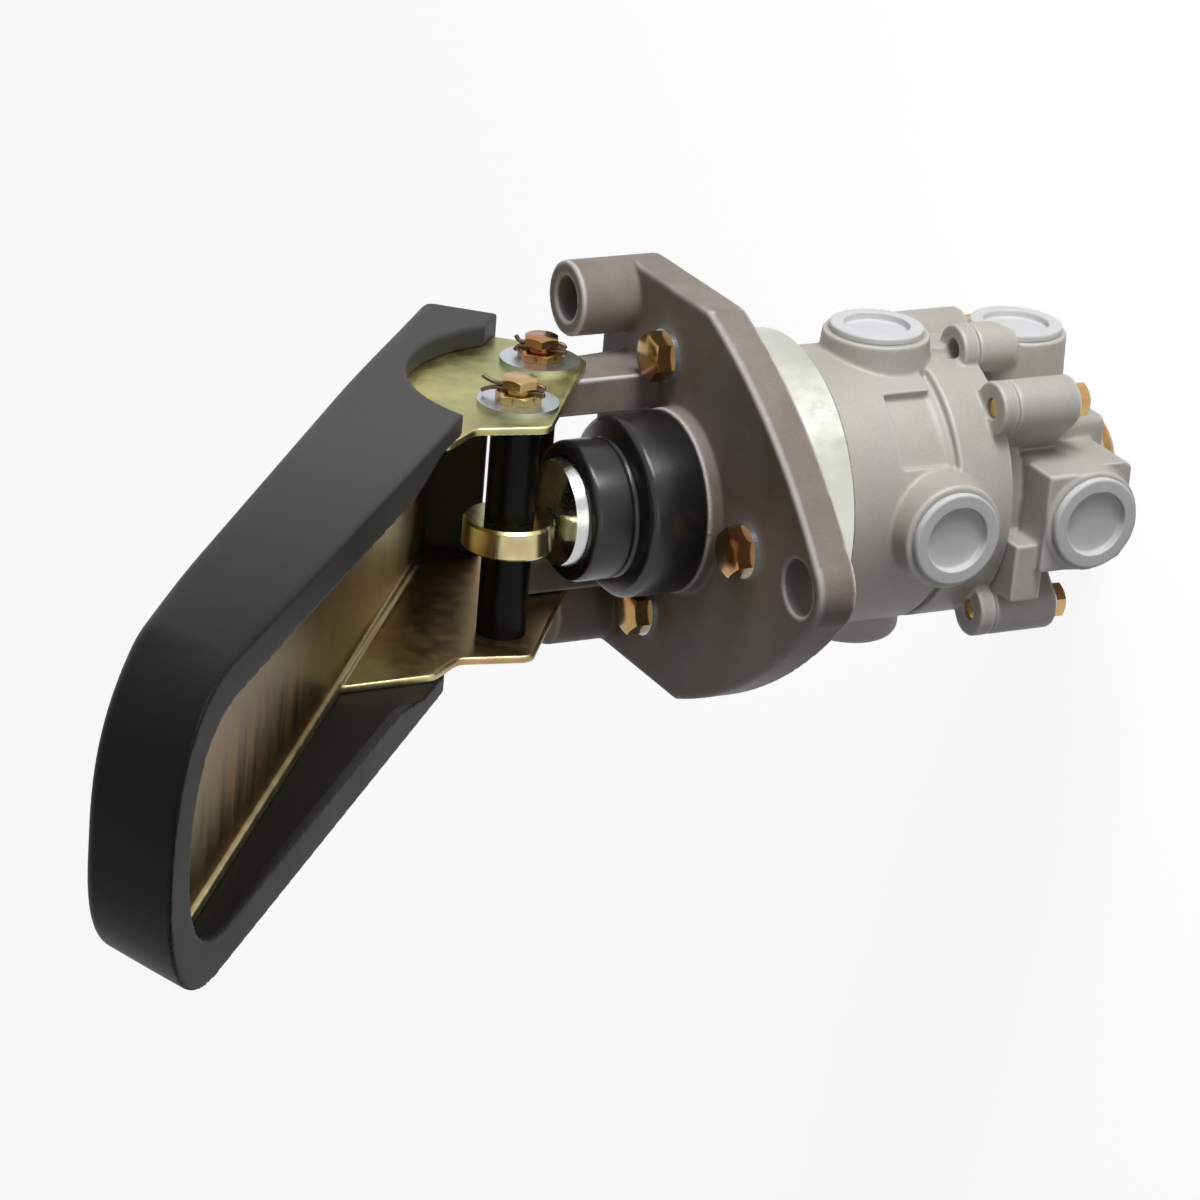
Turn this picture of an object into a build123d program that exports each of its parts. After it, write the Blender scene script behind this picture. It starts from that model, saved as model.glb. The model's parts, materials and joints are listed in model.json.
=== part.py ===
from build123d import *
import os
from math import cos, degrees, radians, sin, sqrt

# Foot brake valve, pedal at rest, in millimetres.
# The origin is where the valve's axis meets the mounting plane, the plate's lower face.
# +Z is the valve's axis towards the pedal, +X is forward towards the toe of the pedal,
# and +Y is the way the pedal's pins lie.

# Clearances
slide_gap = 0.3         # pistons, valves and plugs, all round
pin_gap = 0.05          # running fit on the pedal's pins, all round
seat_gap = 0.05         # between a closed valve and its seat
thread_gap = 0.1        # screws, washers and guides, all round
side_gap = 0.5          # between the lugs and the pedal's ears

# Mounting plate
plate_thick = 12.0
tip_hole_x = 72.2
tip_hole_dia = 16.5
tip_radius = 12.8
tip_end_angle = 50.0
shoulder_x = 8.0
slope_bulge = 5.5
corner_boss_x = -43.5
corner_boss_y = 49.4
corner_boss_radius = 11.4
corner_boss_height = 19.3
corner_hole_dia = 13.5
plate_edge_round = 1.5
hub_radius = 27.5
hub_height = 4.5
spigot_radius = 20.0
spigot_height = 5.5

# Bolts that hold the plate to the ring
bolt_circle_radius = 42.4
bolt_angles = (0.0, 109.0, -109.0)
bolt_dia = 8.0
bolt_length = 26.0
bolt_head_across_flats = 13.0
bolt_head_height = 5.3
bolt_washer_radius = 8.0
bolt_washer_thick = 1.6

# Ring behind the plate
ring_radius = 48.2
ring_bottom = -21.0
ring_seat_depth = 2.0
ring_chamfer = 1.2

# Pedal pins, seen from the side: the pivot and the roller pin
pivot_x = -27.2
pivot_z = 46.9
roller_x = 4.2
roller_z = 69.4
pin_dia = 12.0
pin_head_radius = 9.0
pin_head_height = 3.0
pin_end_proud = 7.0
pin_washer_radius = 11.8
pin_washer_thick = 1.5
split_pin_radius = 1.4
split_pin_reach = 11.5
split_pin_eye = 2.6
split_pin_eye_height = 9.0

# Plate lugs that carry the pivot pin
lug_inner_y = 22.0
lug_end_radius = 9.5
lug_foot_front = -18.2
lug_foot_back = -41.0
bush_wall = 1.0

# Pedal, in its own frame: s runs along the pedal from the pivot towards the toe,
# n stands up from it towards the foot
pedal_angle = 42.0
ear_outer_y = 36.2
sheet = 2.5
heel_s = -17.0
ear_corners = ((-17.0, 3.0), (-10.0, -12.0), (52.0, -18.0), (63.0, 1.0), (78.0, 4.0))
ear_top_s = 100.0
ear_round = 5.0
form_bottom = -20.0
form_top = 48.0
web_height_at_pivot = 34.5
web_slope = 0.075
toe_s = 304.5
rim_n = 3.0
rubber_half_width = 42.5
rubber_wall = 6.1
rubber_heel_wall = 3.0
foot_height_at_pivot = 42.0
foot_slope = 0.042
toe_draft = 0.5
ear_cut_radius = 48.0
ear_cut_s = 26.0
ear_cut_n = -17.0
heel_wall_n = 19.0
foot_edge_round = 4.0
tread_first_s = 30.0
tread_pitch = 15.0
tread_count = 16
tread_width = 3.0
tread_depth = 1.4
tread_length = 64.0

# Roller and its sleeves
roller_radius = 13.4
roller_width = 9.0
roller_centre_y = -2.5
roller_bush_wall = 1.0
sleeve_wall = 1.1

# Plunger and boot
head_radius = 16.3
head_crown_radius = 15.4
head_bottom = 46.0
head_edge = 53.0
stem_radius = 9.0
guide_wall = 2.0
spring_plate_radius = 15.0
spring_plate_top = -3.0
spring_plate_thick = 3.0
boot_foot_radius = 27.0
boot_step_z = 35.0
boot_neck_radius = 20.8
boot_top_z = 49.6
boot_wall = 2.6
boot_round = 1.6

# Upper body
neck_radius = 34.0
barrel_radius = 42.0
groove_top = -57.0
groove_bottom = -60.0
groove_depth = 2.5
joint_z = -78.0
ear_top = -72.5
piston_bore_radius = 24.0
partition_top = -38.0
partition_bottom = -44.0
seat_hole_radius = 8.0
chamber_radius = 20.0
relay_bore_top = -62.0
relay_bore_radius = 26.6
pocket_depth = 3.0
pocket_start_angle = 25.0
pocket_arc = 33.0
pocket_top = -41.0

# Ports: M22 x 1.5 with a recess at the mouth
port_core_radius = 10.2
port_thread_length = 10.0
port_mouth_radius = 11.2
port_mouth_depth = 5.0
port_passage_radius = 9.2
port_face_radius = 16.0
port_foot_radius = 18.4
port_round = 1.0
upper_front_reach = 50.0
upper_front_z = -53.1
upper_side_reach = 47.3
upper_side_z = -50.2
lower_front_reach = 49.7
lower_front_z = -101.1
lower_side_reach = 44.2
lower_side_z = -99.0
blank_reach = 48.0
blank_radius = 15.5
blank_round = 4.0

# Port plugs
plug_flange_radius = 14.1
plug_flange_thick = 2.2
plug_recess_radius = 9.9
plug_recess_depth = 2.4
plug_round = 0.7

# Screw lugs between the two bodies
lug_circle_radius = 45.2
lug_angles = (45.0, 135.0, -135.0, -45.0)
lug_radius = 8.0
lug_bottom = -99.0
spare_lug_angle = 79.6
spare_lug_circle_radius = 42.7
spare_lug_radius = 7.6
spare_lug_bottom = -91.0
spare_hole_radius = 3.4
foot_lug_x = (28.0, 46.0)
foot_lug_y = (-25.0, -7.0)
foot_lug_bottom = -88.0
screw_dia = 6.0
screw_head_across_flats = 10.0
screw_head_height = 4.0
screw_washer_thick = 1.2
screw_washer_radius = 6.0

# Lower body
lower_barrel_radius = 34.0
lower_barrel_bottom = -86.0
block_half_top = 28.0
block_half_bottom = 21.0
block_corner = 9.0
block_bottom = -121.0
port_block_half = 15.5
port_block_reach = 44.0
port_block_top = -86.0
port_block_bottom = -117.0
end_boss_radius = 18.0
end_boss_bottom = -126.0
relay_bore_bottom = -84.0
lower_partition_bottom = -92.0
lower_chamber_radius = 14.0

# Inner pieces
piston_crown_top = -20.0
piston_crown_thick = 4.0
piston_skirt_top = -12.0
piston_skirt_wall = 3.7
tube_radius = 6.5
tube_bore = 3.5
tube_lift = 1.0
seal_section = 1.1
valve_disc_radius = 9.5
valve_disc_thick = 3.0
valve_tube_radius = 6.0
upper_guide_top = -58.0
lower_guide_top = -108.0
guide_thick = 4.0
guide_lip = 1.6
relay_crown_top = -66.0
relay_crown_thick = 4.0
relay_skirt = 6.0
snap_ring_thick = 1.4
snap_ring_bite = 1.2
body_seal_radius = 30.0
body_seal_section = 1.05

# Exhaust end
cap_radius = 16.0
cap_skirt = 3.0
cap_height = 8.0
cap_thick = 1.5
cap_hole_radius = 6.0
flap_thick = 1.5

os.makedirs("parts", exist_ok=True)


def save(part, label):
    part.label = label
    export_step(part, f"parts/{label}.step")


def around(angle, radius):
    return (radius * cos(radians(angle)), radius * sin(radians(angle)))


def half_plane(angle):
    """Plane through the valve's axis, with x pointing outwards at the angle."""
    a = radians(angle)
    return Plane(origin=(0, 0, 0), x_dir=(cos(a), sin(a), 0), z_dir=(sin(a), -cos(a), 0))


# Planes of the pedal: one across it, for outlines seen from the foot,
# and one along it, for outlines seen from the side
along = (cos(radians(pedal_angle)), 0, sin(radians(pedal_angle)))
upward = (-sin(radians(pedal_angle)), 0, cos(radians(pedal_angle)))
pedal_flat = Plane(origin=(pivot_x, 0, pivot_z), x_dir=along, z_dir=upward)
pivot_side = Plane(origin=(pivot_x, 0, pivot_z), x_dir=along, z_dir=(0, -1, 0))
roller_side = Plane(origin=(roller_x, 0, roller_z), x_dir=along, z_dir=(0, -1, 0))
plate_top = plate_thick
neck_top = ring_seat_depth - thread_gap
hub_top = plate_top + hub_height
spigot_top = hub_top + spigot_height
pin_radius = pin_dia / 2
bolt_radius = bolt_dia / 2
screw_radius = screw_dia / 2
ear_inner_y = ear_outer_y - sheet
lug_outer_y = ear_inner_y - side_gap
washer_top_y = ear_outer_y + pin_washer_thick
pin_end_y = washer_top_y + pin_end_proud
cross_hole_y = washer_top_y + pin_end_proud / 2
bush_radius = pin_radius + pin_gap + bush_wall
bolt_places = [around(angle, bolt_circle_radius) for angle in bolt_angles]
lug_places = [around(angle, lug_circle_radius) for angle in lug_angles]
spare_lug_place = around(spare_lug_angle, spare_lug_circle_radius)


def cross_plane(side):
    """Plane across a pin where its split pin goes, looking towards the foot."""
    return Plane(origin=side.origin + Vector(0, cross_hole_y, 0), x_dir=along, z_dir=upward)


def web_n(s):
    return web_height_at_pivot - web_slope * s


def foot_n(s):
    return foot_height_at_pivot - foot_slope * s


# Mounting plate
corner_x = corner_boss_x - corner_boss_radius
side_y = corner_boss_y + corner_boss_radius
tip_join = (
    tip_hole_x + tip_radius * cos(radians(tip_end_angle)),
    tip_radius * sin(radians(tip_end_angle)),
)
slope_length = sqrt((tip_join[0] - shoulder_x) ** 2 + (side_y - tip_join[1]) ** 2)
slope_middle = (
    (shoulder_x + tip_join[0]) / 2 + slope_bulge * (side_y - tip_join[1]) / slope_length,
    (side_y + tip_join[1]) / 2 + slope_bulge * (tip_join[0] - shoulder_x) / slope_length,
)
with BuildPart() as mounting_plate:
    with BuildSketch():
        with BuildLine():
            Line((corner_x, 0), (corner_x, side_y))
            Line((corner_x, side_y), (shoulder_x, side_y))
            ThreePointArc((shoulder_x, side_y), slope_middle, tip_join)
            ThreePointArc(
                tip_join,
                (tip_hole_x + tip_radius * cos(radians(tip_end_angle / 2)),
                 tip_radius * sin(radians(tip_end_angle / 2))),
                (tip_hole_x + tip_radius, 0),
            )
            mirror(about=Plane.XZ)
        plate_outline = make_face()
        heel_corners = plate_outline.vertices().group_by(Axis.X)[0]
        fillet([v for v in heel_corners if abs(v.Y) > 1], radius=corner_boss_radius - 0.01)
    extrude(amount=plate_thick)
    fillet(mounting_plate.faces().sort_by(Axis.Z)[-1].edges(), radius=plate_edge_round)
    with BuildSketch(Plane.XY.offset(plate_top)):
        Circle(hub_radius)
    extrude(amount=hub_height)
    with BuildSketch(Plane.XY.offset(hub_top)):
        Circle(spigot_radius)
    extrude(amount=spigot_height)
    with BuildSketch(Plane.XY):
        with Locations((corner_boss_x, corner_boss_y), (corner_boss_x, -corner_boss_y)):
            Circle(corner_boss_radius - 0.01)
    extrude(amount=plate_top + corner_boss_height)
    for side in (1, -1):
        middle = side * (lug_inner_y + lug_outer_y) / 2
        with BuildSketch(Plane.XZ.offset(-middle)):
            with BuildLine():
                Polyline(
                    (lug_foot_back, plate_top - 1),
                    (lug_foot_front, plate_top - 1),
                    (pivot_x + lug_end_radius, pivot_z - lug_end_radius / 2),
                    (pivot_x + lug_end_radius, pivot_z),
                    (pivot_x - lug_end_radius, pivot_z),
                    (pivot_x - lug_end_radius, pivot_z - lug_end_radius / 2),
                    close=True,
                )
            make_face()
            with Locations((pivot_x, pivot_z)):
                Circle(lug_end_radius)
        extrude(amount=(lug_outer_y - lug_inner_y) / 2, both=True)
    with Locations(pivot_side):
        Cylinder(bush_radius, 3 * lug_outer_y, mode=Mode.SUBTRACT)
    with Locations((corner_boss_x, corner_boss_y), (corner_boss_x, -corner_boss_y)):
        Cylinder(corner_hole_dia / 2, 6 * plate_thick, mode=Mode.SUBTRACT)
    with Locations((tip_hole_x, 0)):
        Cylinder(tip_hole_dia / 2, 4 * plate_thick, mode=Mode.SUBTRACT)
    with Locations(*bolt_places):
        Cylinder(bolt_radius + thread_gap, 4 * plate_thick, mode=Mode.SUBTRACT)
    with BuildSketch(Plane.XY):
        Circle(ring_radius + thread_gap)
    extrude(amount=ring_seat_depth, mode=Mode.SUBTRACT)
    Cylinder(stem_radius + slide_gap + guide_wall, 4 * spigot_top, mode=Mode.SUBTRACT)
save(mounting_plate.part, "mounting_plate")

# Pivot bushes, pressed into the lugs
with BuildPart() as pivot_bushes:
    for side in (1, -1):
        middle = side * (lug_inner_y + lug_outer_y) / 2
        with BuildSketch(Plane.XZ.offset(-middle)):
            with Locations((pivot_x, pivot_z)):
                Circle(bush_radius)
                Circle(pin_radius + pin_gap, mode=Mode.SUBTRACT)
        extrude(amount=(lug_outer_y - lug_inner_y) / 2, both=True)
save(pivot_bushes.part, "pivot_bushes")

# Plate bolts and their washers
with BuildPart() as plate_bolts:
    head_z = plate_top + bolt_washer_thick
    with BuildSketch(Plane.XY.offset(head_z)):
        with Locations(*bolt_places):
            RegularPolygon(bolt_head_across_flats / 2, 6, major_radius=False)
    extrude(amount=bolt_head_height)
    with BuildSketch(Plane.XY.offset(head_z)):
        with Locations(*bolt_places):
            Circle(bolt_radius)
    extrude(amount=-bolt_length)
save(plate_bolts.part, "plate_bolts")

with BuildPart() as bolt_washers:
    with BuildSketch(Plane.XY.offset(plate_top)):
        with Locations(*bolt_places):
            Circle(bolt_washer_radius)
            Circle(bolt_radius + thread_gap, mode=Mode.SUBTRACT)
    extrude(amount=bolt_washer_thick)
save(bolt_washers.part, "bolt_washers")

# Ring behind the plate, which the upper body screws into
with BuildPart() as clamp_ring:
    with BuildSketch(Plane.XY.offset(ring_seat_depth)):
        Circle(ring_radius)
        Circle(neck_radius + thread_gap, mode=Mode.SUBTRACT)
        with Locations(*bolt_places):
            Circle(bolt_radius + thread_gap, mode=Mode.SUBTRACT)
    extrude(amount=ring_bottom - ring_seat_depth)
    rims = clamp_ring.edges().filter_by(GeomType.CIRCLE)
    outer_rims = [e for e in rims if abs(e.radius - ring_radius) < 0.01]
    chamfer(outer_rims, length=ring_chamfer)
save(clamp_ring.part, "clamp_ring")

# Ports: each plane lies on the port's mouth and looks outwards
front = {"x_dir": (0, 1, 0), "z_dir": (1, 0, 0)}
sideways = {"x_dir": (-1, 0, 0), "z_dir": (0, 1, 0)}
upper_ports = {
    "upper_front": Plane(origin=(upper_front_reach, 0, upper_front_z), **front),
    "upper_side": Plane(origin=(0, upper_side_reach, upper_side_z), **sideways),
}
lower_ports = {
    "lower_front": Plane(origin=(lower_front_reach, 0, lower_front_z), **front),
    "lower_side": Plane(origin=(0, lower_side_reach, lower_side_z), **sideways),
}
mouth_up = (Align.CENTER, Align.CENTER, Align.MAX)
outwards = (Align.CENTER, Align.CENTER, Align.MIN)
upper_reaches = {"upper_front": upper_front_reach, "upper_side": upper_side_reach}
lower_reaches = {"lower_front": lower_front_reach, "lower_side": lower_side_reach}
thread_end = port_mouth_depth + port_thread_length

# Upper body
with BuildPart() as upper_body:
    with BuildSketch(Plane.XZ):
        with BuildLine():
            Polyline(
                (0, neck_top),
                (neck_radius, neck_top),
                (neck_radius, ring_bottom),
                (barrel_radius, ring_bottom),
                (barrel_radius, groove_top),
                (barrel_radius - groove_depth, groove_top),
                (barrel_radius - groove_depth, groove_bottom),
                (barrel_radius, groove_bottom),
                (barrel_radius, joint_z),
                (0, joint_z),
                close=True,
            )
        make_face()
    revolve(axis=Axis.Z)
    for name, plane in upper_ports.items():
        with Locations(plane):
            Cone(port_foot_radius, port_face_radius, upper_reaches[name] - chamber_radius,
                 align=mouth_up)
    with Locations(Plane(origin=(0, -blank_reach, upper_side_z), x_dir=(1, 0, 0),
                         z_dir=(0, -1, 0))):
        Cylinder(blank_radius, blank_reach - chamber_radius, align=mouth_up)
    fillet(upper_body.faces().sort_by(Axis.Y)[0].edges(), radius=blank_round)
    with BuildSketch(Plane.XY.offset(joint_z)):
        with Locations(*lug_places):
            Circle(lug_radius)
        with Locations(spare_lug_place):
            Circle(spare_lug_radius)
    extrude(amount=ear_top - joint_z)
    with BuildSketch(half_plane(pocket_start_angle)):
        with Locations((barrel_radius, (pocket_top + groove_top) / 2)):
            Rectangle(2 * pocket_depth, pocket_top - groove_top)
    revolve(axis=Axis.Z, revolution_arc=pocket_arc, mode=Mode.SUBTRACT)
    with BuildSketch(Plane.XZ):
        with BuildLine():
            Polyline(
                (0, neck_top),
                (piston_bore_radius, neck_top),
                (piston_bore_radius, partition_top),
                (seat_hole_radius, partition_top),
                (seat_hole_radius, partition_bottom),
                (chamber_radius, partition_bottom),
                (chamber_radius, relay_bore_top),
                (relay_bore_radius, relay_bore_top),
                (relay_bore_radius, joint_z),
                (0, joint_z),
                close=True,
            )
        make_face()
    revolve(axis=Axis.Z, mode=Mode.SUBTRACT)
    for name, plane in upper_ports.items():
        with Locations(plane):
            Cylinder(port_mouth_radius, port_mouth_depth, align=mouth_up, mode=Mode.SUBTRACT)
            Cylinder(port_core_radius, thread_end, align=mouth_up, mode=Mode.SUBTRACT)
            Cylinder(port_passage_radius, upper_reaches[name] - chamber_radius / 2,
                     align=mouth_up, mode=Mode.SUBTRACT)
    with Locations(*[(x, y, joint_z) for x, y in lug_places]):
        Cylinder(screw_radius + thread_gap, 4 * (ear_top - joint_z), mode=Mode.SUBTRACT)
    with Locations((*spare_lug_place, joint_z)):
        Cylinder(spare_hole_radius, 4 * (ear_top - joint_z), mode=Mode.SUBTRACT)
save(upper_body.part, "upper_body")

# Lower body
block_draft = degrees((block_half_top - block_half_bottom) / (joint_z - block_bottom))
with BuildPart() as lower_body:
    with BuildSketch(Plane.XY.offset(joint_z)):
        Circle(lower_barrel_radius)
        with Locations(*lug_places):
            Circle(lug_radius)
    extrude(amount=lower_barrel_bottom - joint_z)
    with BuildSketch(Plane.XY.offset(joint_z)):
        RectangleRounded(2 * block_half_top, 2 * block_half_top, block_corner)
    extrude(amount=block_bottom - joint_z, taper=block_draft)
    with BuildSketch(Plane.XY.offset(joint_z)):
        with Locations(*lug_places):
            Circle(lug_radius)
        with PolarLocations(lug_circle_radius / 2, 4, start_angle=lug_angles[0]):
            Rectangle(lug_circle_radius, 2 * lug_radius)
    extrude(amount=lug_bottom - joint_z)
    with BuildSketch(Plane.XY.offset(joint_z)):
        with Locations(spare_lug_place):
            Circle(spare_lug_radius)
    extrude(amount=spare_lug_bottom - joint_z)
    foot_lug_size = (foot_lug_x[1] - foot_lug_x[0], foot_lug_y[1] - foot_lug_y[0])
    with BuildSketch(Plane.XY.offset(joint_z)):
        with Locations((sum(foot_lug_x) / 2, sum(foot_lug_y) / 2)):
            Rectangle(*foot_lug_size)
    extrude(amount=foot_lug_bottom - joint_z)
    with BuildSketch(Plane.YZ.offset(lower_chamber_radius)):
        with Locations((0, (port_block_top + port_block_bottom) / 2)):
            RectangleRounded(2 * port_block_half, port_block_top - port_block_bottom, 3)
    extrude(amount=port_block_reach - lower_chamber_radius)
    for name, plane in lower_ports.items():
        with Locations(plane):
            Cone(port_face_radius + 0.5, port_face_radius - 0.5,
                 lower_reaches[name] - lower_chamber_radius, align=mouth_up)
    with BuildSketch(Plane.XY.offset(block_bottom)):
        Circle(end_boss_radius)
    extrude(amount=end_boss_bottom - block_bottom)
    with BuildSketch(Plane.XZ):
        with BuildLine():
            Polyline(
                (0, joint_z),
                (relay_bore_radius, joint_z),
                (relay_bore_radius, relay_bore_bottom),
                (seat_hole_radius, relay_bore_bottom),
                (seat_hole_radius, lower_partition_bottom),
                (lower_chamber_radius, lower_partition_bottom),
                (lower_chamber_radius, end_boss_bottom),
                (0, end_boss_bottom),
                close=True,
            )
        make_face()
        with Locations((body_seal_radius, joint_z)):
            Rectangle(2 * (body_seal_section + thread_gap), 2 * (2 * body_seal_section))
    revolve(axis=Axis.Z, mode=Mode.SUBTRACT)
    for name, plane in lower_ports.items():
        with Locations(plane):
            Cylinder(plug_flange_radius + slide_gap, 2 * lug_radius, align=outwards,
                     mode=Mode.SUBTRACT)
            Cylinder(port_mouth_radius, port_mouth_depth, align=mouth_up, mode=Mode.SUBTRACT)
            Cylinder(port_core_radius, thread_end, align=mouth_up, mode=Mode.SUBTRACT)
            Cylinder(port_passage_radius, lower_reaches[name] - lower_chamber_radius / 2,
                     align=mouth_up, mode=Mode.SUBTRACT)
    with Locations(*[(x, y, joint_z) for x, y in lug_places]):
        Cylinder(screw_radius + thread_gap, 4 * (joint_z - lug_bottom), mode=Mode.SUBTRACT)
    with Locations((*spare_lug_place, joint_z)):
        Cylinder(spare_hole_radius, 4 * (joint_z - spare_lug_bottom), mode=Mode.SUBTRACT)
save(lower_body.part, "lower_body")

# Joining screws and washers
with BuildPart() as joining_screws:
    with BuildSketch(Plane.XY.offset(lug_bottom - screw_washer_thick)):
        with Locations(*lug_places):
            RegularPolygon(screw_head_across_flats / 2, 6, major_radius=False)
    extrude(amount=-screw_head_height)
    with BuildSketch(Plane.XY.offset(lug_bottom - screw_washer_thick)):
        with Locations(*lug_places):
            Circle(screw_radius)
    extrude(amount=ear_top - lug_bottom + screw_washer_thick - 1)
save(joining_screws.part, "joining_screws")

with BuildPart() as screw_washers:
    with BuildSketch(Plane.XY.offset(lug_bottom)):
        with Locations(*lug_places):
            Circle(screw_washer_radius)
            Circle(screw_radius + thread_gap, mode=Mode.SUBTRACT)
    extrude(amount=-screw_washer_thick)
save(screw_washers.part, "screw_washers")

# Seal between the two bodies
with BuildPart() as body_seal:
    with BuildSketch(Plane.XZ):
        with Locations((body_seal_radius, joint_z - body_seal_section)):
            Circle(body_seal_section)
    revolve(axis=Axis.Z)
save(body_seal.part, "body_seal")

# Port plugs
for name, plane in {**upper_ports, **lower_ports}.items():
    with BuildPart() as port_plug:
        with BuildSketch(plane):
            Circle(plug_flange_radius)
        extrude(amount=plug_flange_thick)
        fillet(port_plug.faces().sort_by(Axis(plane.origin, plane.z_dir))[-1].edges(),
               radius=plug_round)
        with BuildSketch(plane):
            Circle(port_mouth_radius - slide_gap)
        extrude(amount=slide_gap - port_mouth_depth)
        with BuildSketch(plane.offset(plug_flange_thick)):
            Circle(plug_recess_radius)
        extrude(amount=-plug_recess_depth, mode=Mode.SUBTRACT)
    save(port_plug.part, f"{name}_plug")

# Exhaust end: rubber flap and cap
with BuildPart() as exhaust_flap:
    with BuildSketch(Plane.XY.offset(end_boss_bottom + flap_thick / 2)):
        Circle(lower_chamber_radius - slide_gap)
    extrude(amount=flap_thick)
save(exhaust_flap.part, "exhaust_flap")

with BuildPart() as exhaust_cap:
    cap_top = end_boss_bottom - thread_gap
    with BuildSketch(Plane.XZ):
        with BuildLine():
            Line((cap_hole_radius, cap_top - cap_height), (cap_hole_radius + 1, cap_top - cap_height))
            ThreePointArc(
                (cap_hole_radius + 1, cap_top - cap_height),
                (cap_radius * 0.82, cap_top - cap_height * 0.78),
                (cap_radius, cap_top - cap_skirt),
            )
            Line((cap_radius, cap_top - cap_skirt), (cap_radius, cap_top))
            Line((cap_radius, cap_top), (cap_radius - cap_thick, cap_top))
            Line((cap_radius - cap_thick, cap_top), (cap_radius - cap_thick, cap_top - cap_skirt))
            ThreePointArc(
                (cap_radius - cap_thick, cap_top - cap_skirt),
                (cap_radius * 0.82 - cap_thick, cap_top - cap_height * 0.78 + cap_thick),
                (cap_hole_radius, cap_top - cap_height + cap_thick),
            )
            Line((cap_hole_radius, cap_top - cap_height + cap_thick),
                 (cap_hole_radius, cap_top - cap_height))
        make_face()
    revolve(axis=Axis.Z)
save(exhaust_cap.part, "exhaust_cap")

# Plunger guide bush in the plate's hub
with BuildPart() as plunger_guide:
    with BuildSketch(Plane.XY.offset(ring_seat_depth)):
        Circle(stem_radius + slide_gap + guide_wall)
        Circle(stem_radius + slide_gap, mode=Mode.SUBTRACT)
    extrude(amount=spigot_top - ring_seat_depth)
save(plunger_guide.part, "plunger_guide")

# Plunger: crowned head, stem and spring plate
crown_top = roller_z - roller_radius - slide_gap
with BuildPart() as plunger:
    with BuildSketch(Plane.XZ):
        with BuildLine():
            Polyline(
                (0, spring_plate_top - spring_plate_thick),
                (spring_plate_radius, spring_plate_top - spring_plate_thick),
                (spring_plate_radius, spring_plate_top),
                (stem_radius, spring_plate_top),
                (stem_radius, head_bottom),
                (head_radius, head_bottom),
                (head_radius, head_edge - 4),
                (head_crown_radius, head_edge),
            )
            TangentArc((0, crown_top), (head_crown_radius, head_edge), tangent=(1, 0))
            Line((0, crown_top), (0, spring_plate_top - spring_plate_thick))
        make_face()
    revolve(axis=Axis.Z)
save(plunger.part, "plunger")

# Boot, in two steps from the hub to the plunger's head
with BuildPart() as boot:
    lip_radius = stem_radius + slide_gap
    boot_bottom = hub_top
    with BuildSketch(Plane.XZ):
        with BuildLine():
            Polyline(
                (spigot_radius + thread_gap, boot_bottom),
                (boot_foot_radius, boot_bottom),
                (boot_foot_radius, boot_step_z),
                (boot_neck_radius, boot_step_z + boot_round),
                (boot_neck_radius, boot_top_z),
                (head_radius + slide_gap, boot_top_z),
                (head_radius + slide_gap, head_bottom - slide_gap),
                (lip_radius, head_bottom - slide_gap),
                (lip_radius, head_bottom - slide_gap - boot_wall),
                (boot_neck_radius - boot_wall, head_bottom - slide_gap - boot_wall),
                (boot_neck_radius - boot_wall, boot_step_z - boot_wall),
                (boot_foot_radius - boot_wall, boot_step_z - boot_wall),
                (boot_foot_radius - boot_wall, spigot_top),
                (spigot_radius + thread_gap, spigot_top),
                close=True,
            )
        make_face()
    revolve(axis=Axis.Z)
    boot_rims = boot.edges().filter_by(GeomType.CIRCLE)
    step_rims = [e for e in boot_rims if abs(e.radius - boot_foot_radius) < 0.01 and
                 e.center().Z > boot_bottom + 1]
    neck_rims = [e for e in boot_rims if abs(e.radius - boot_neck_radius) < 0.01 and
                 e.center().Z > boot_top_z - 1]
    fillet(step_rims + neck_rims, radius=boot_round)
save(boot.part, "boot")

# Graduating spring, a rubber block between the spring plate and the main piston
with BuildPart() as graduating_spring:
    spring_top = spring_plate_top - spring_plate_thick
    waist = 0.8
    with BuildSketch(Plane.XZ):
        with BuildLine():
            Line((0, spring_top), (spring_plate_radius - 3, spring_top))
            ThreePointArc(
                (spring_plate_radius - 3, spring_top),
                ((spring_plate_radius - 3) * waist, (spring_top + piston_crown_top) / 2),
                (spring_plate_radius - 3, piston_crown_top),
            )
            Line((spring_plate_radius - 3, piston_crown_top), (0, piston_crown_top))
            Line((0, piston_crown_top), (0, spring_top))
        make_face()
    revolve(axis=Axis.Z)
save(graduating_spring.part, "graduating_spring")


def seal_ring(bore_radius, z):
    """Rubber ring in a piston's rim, just clear of the bore."""
    with BuildPart() as ring:
        with BuildSketch(Plane.XZ):
            with Locations((bore_radius - slide_gap / 2 - seal_section, z)):
                Circle(seal_section)
        revolve(axis=Axis.Z)
    return ring.part


def coil(coil_radius, wire_radius, bottom, top, turns):
    """Compression spring that stands between two heights."""
    height = top - bottom - 2 * wire_radius
    with BuildPart() as spring:
        with BuildLine(Plane.XY.offset(bottom + wire_radius)) as path:
            Helix(pitch=height / turns, height=height, radius=coil_radius)
        with BuildSketch(Plane(origin=path.line @ 0, z_dir=path.line % 0)):
            Circle(wire_radius)
        sweep(path=path.line, is_frenet=True)
    return spring.part


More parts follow.
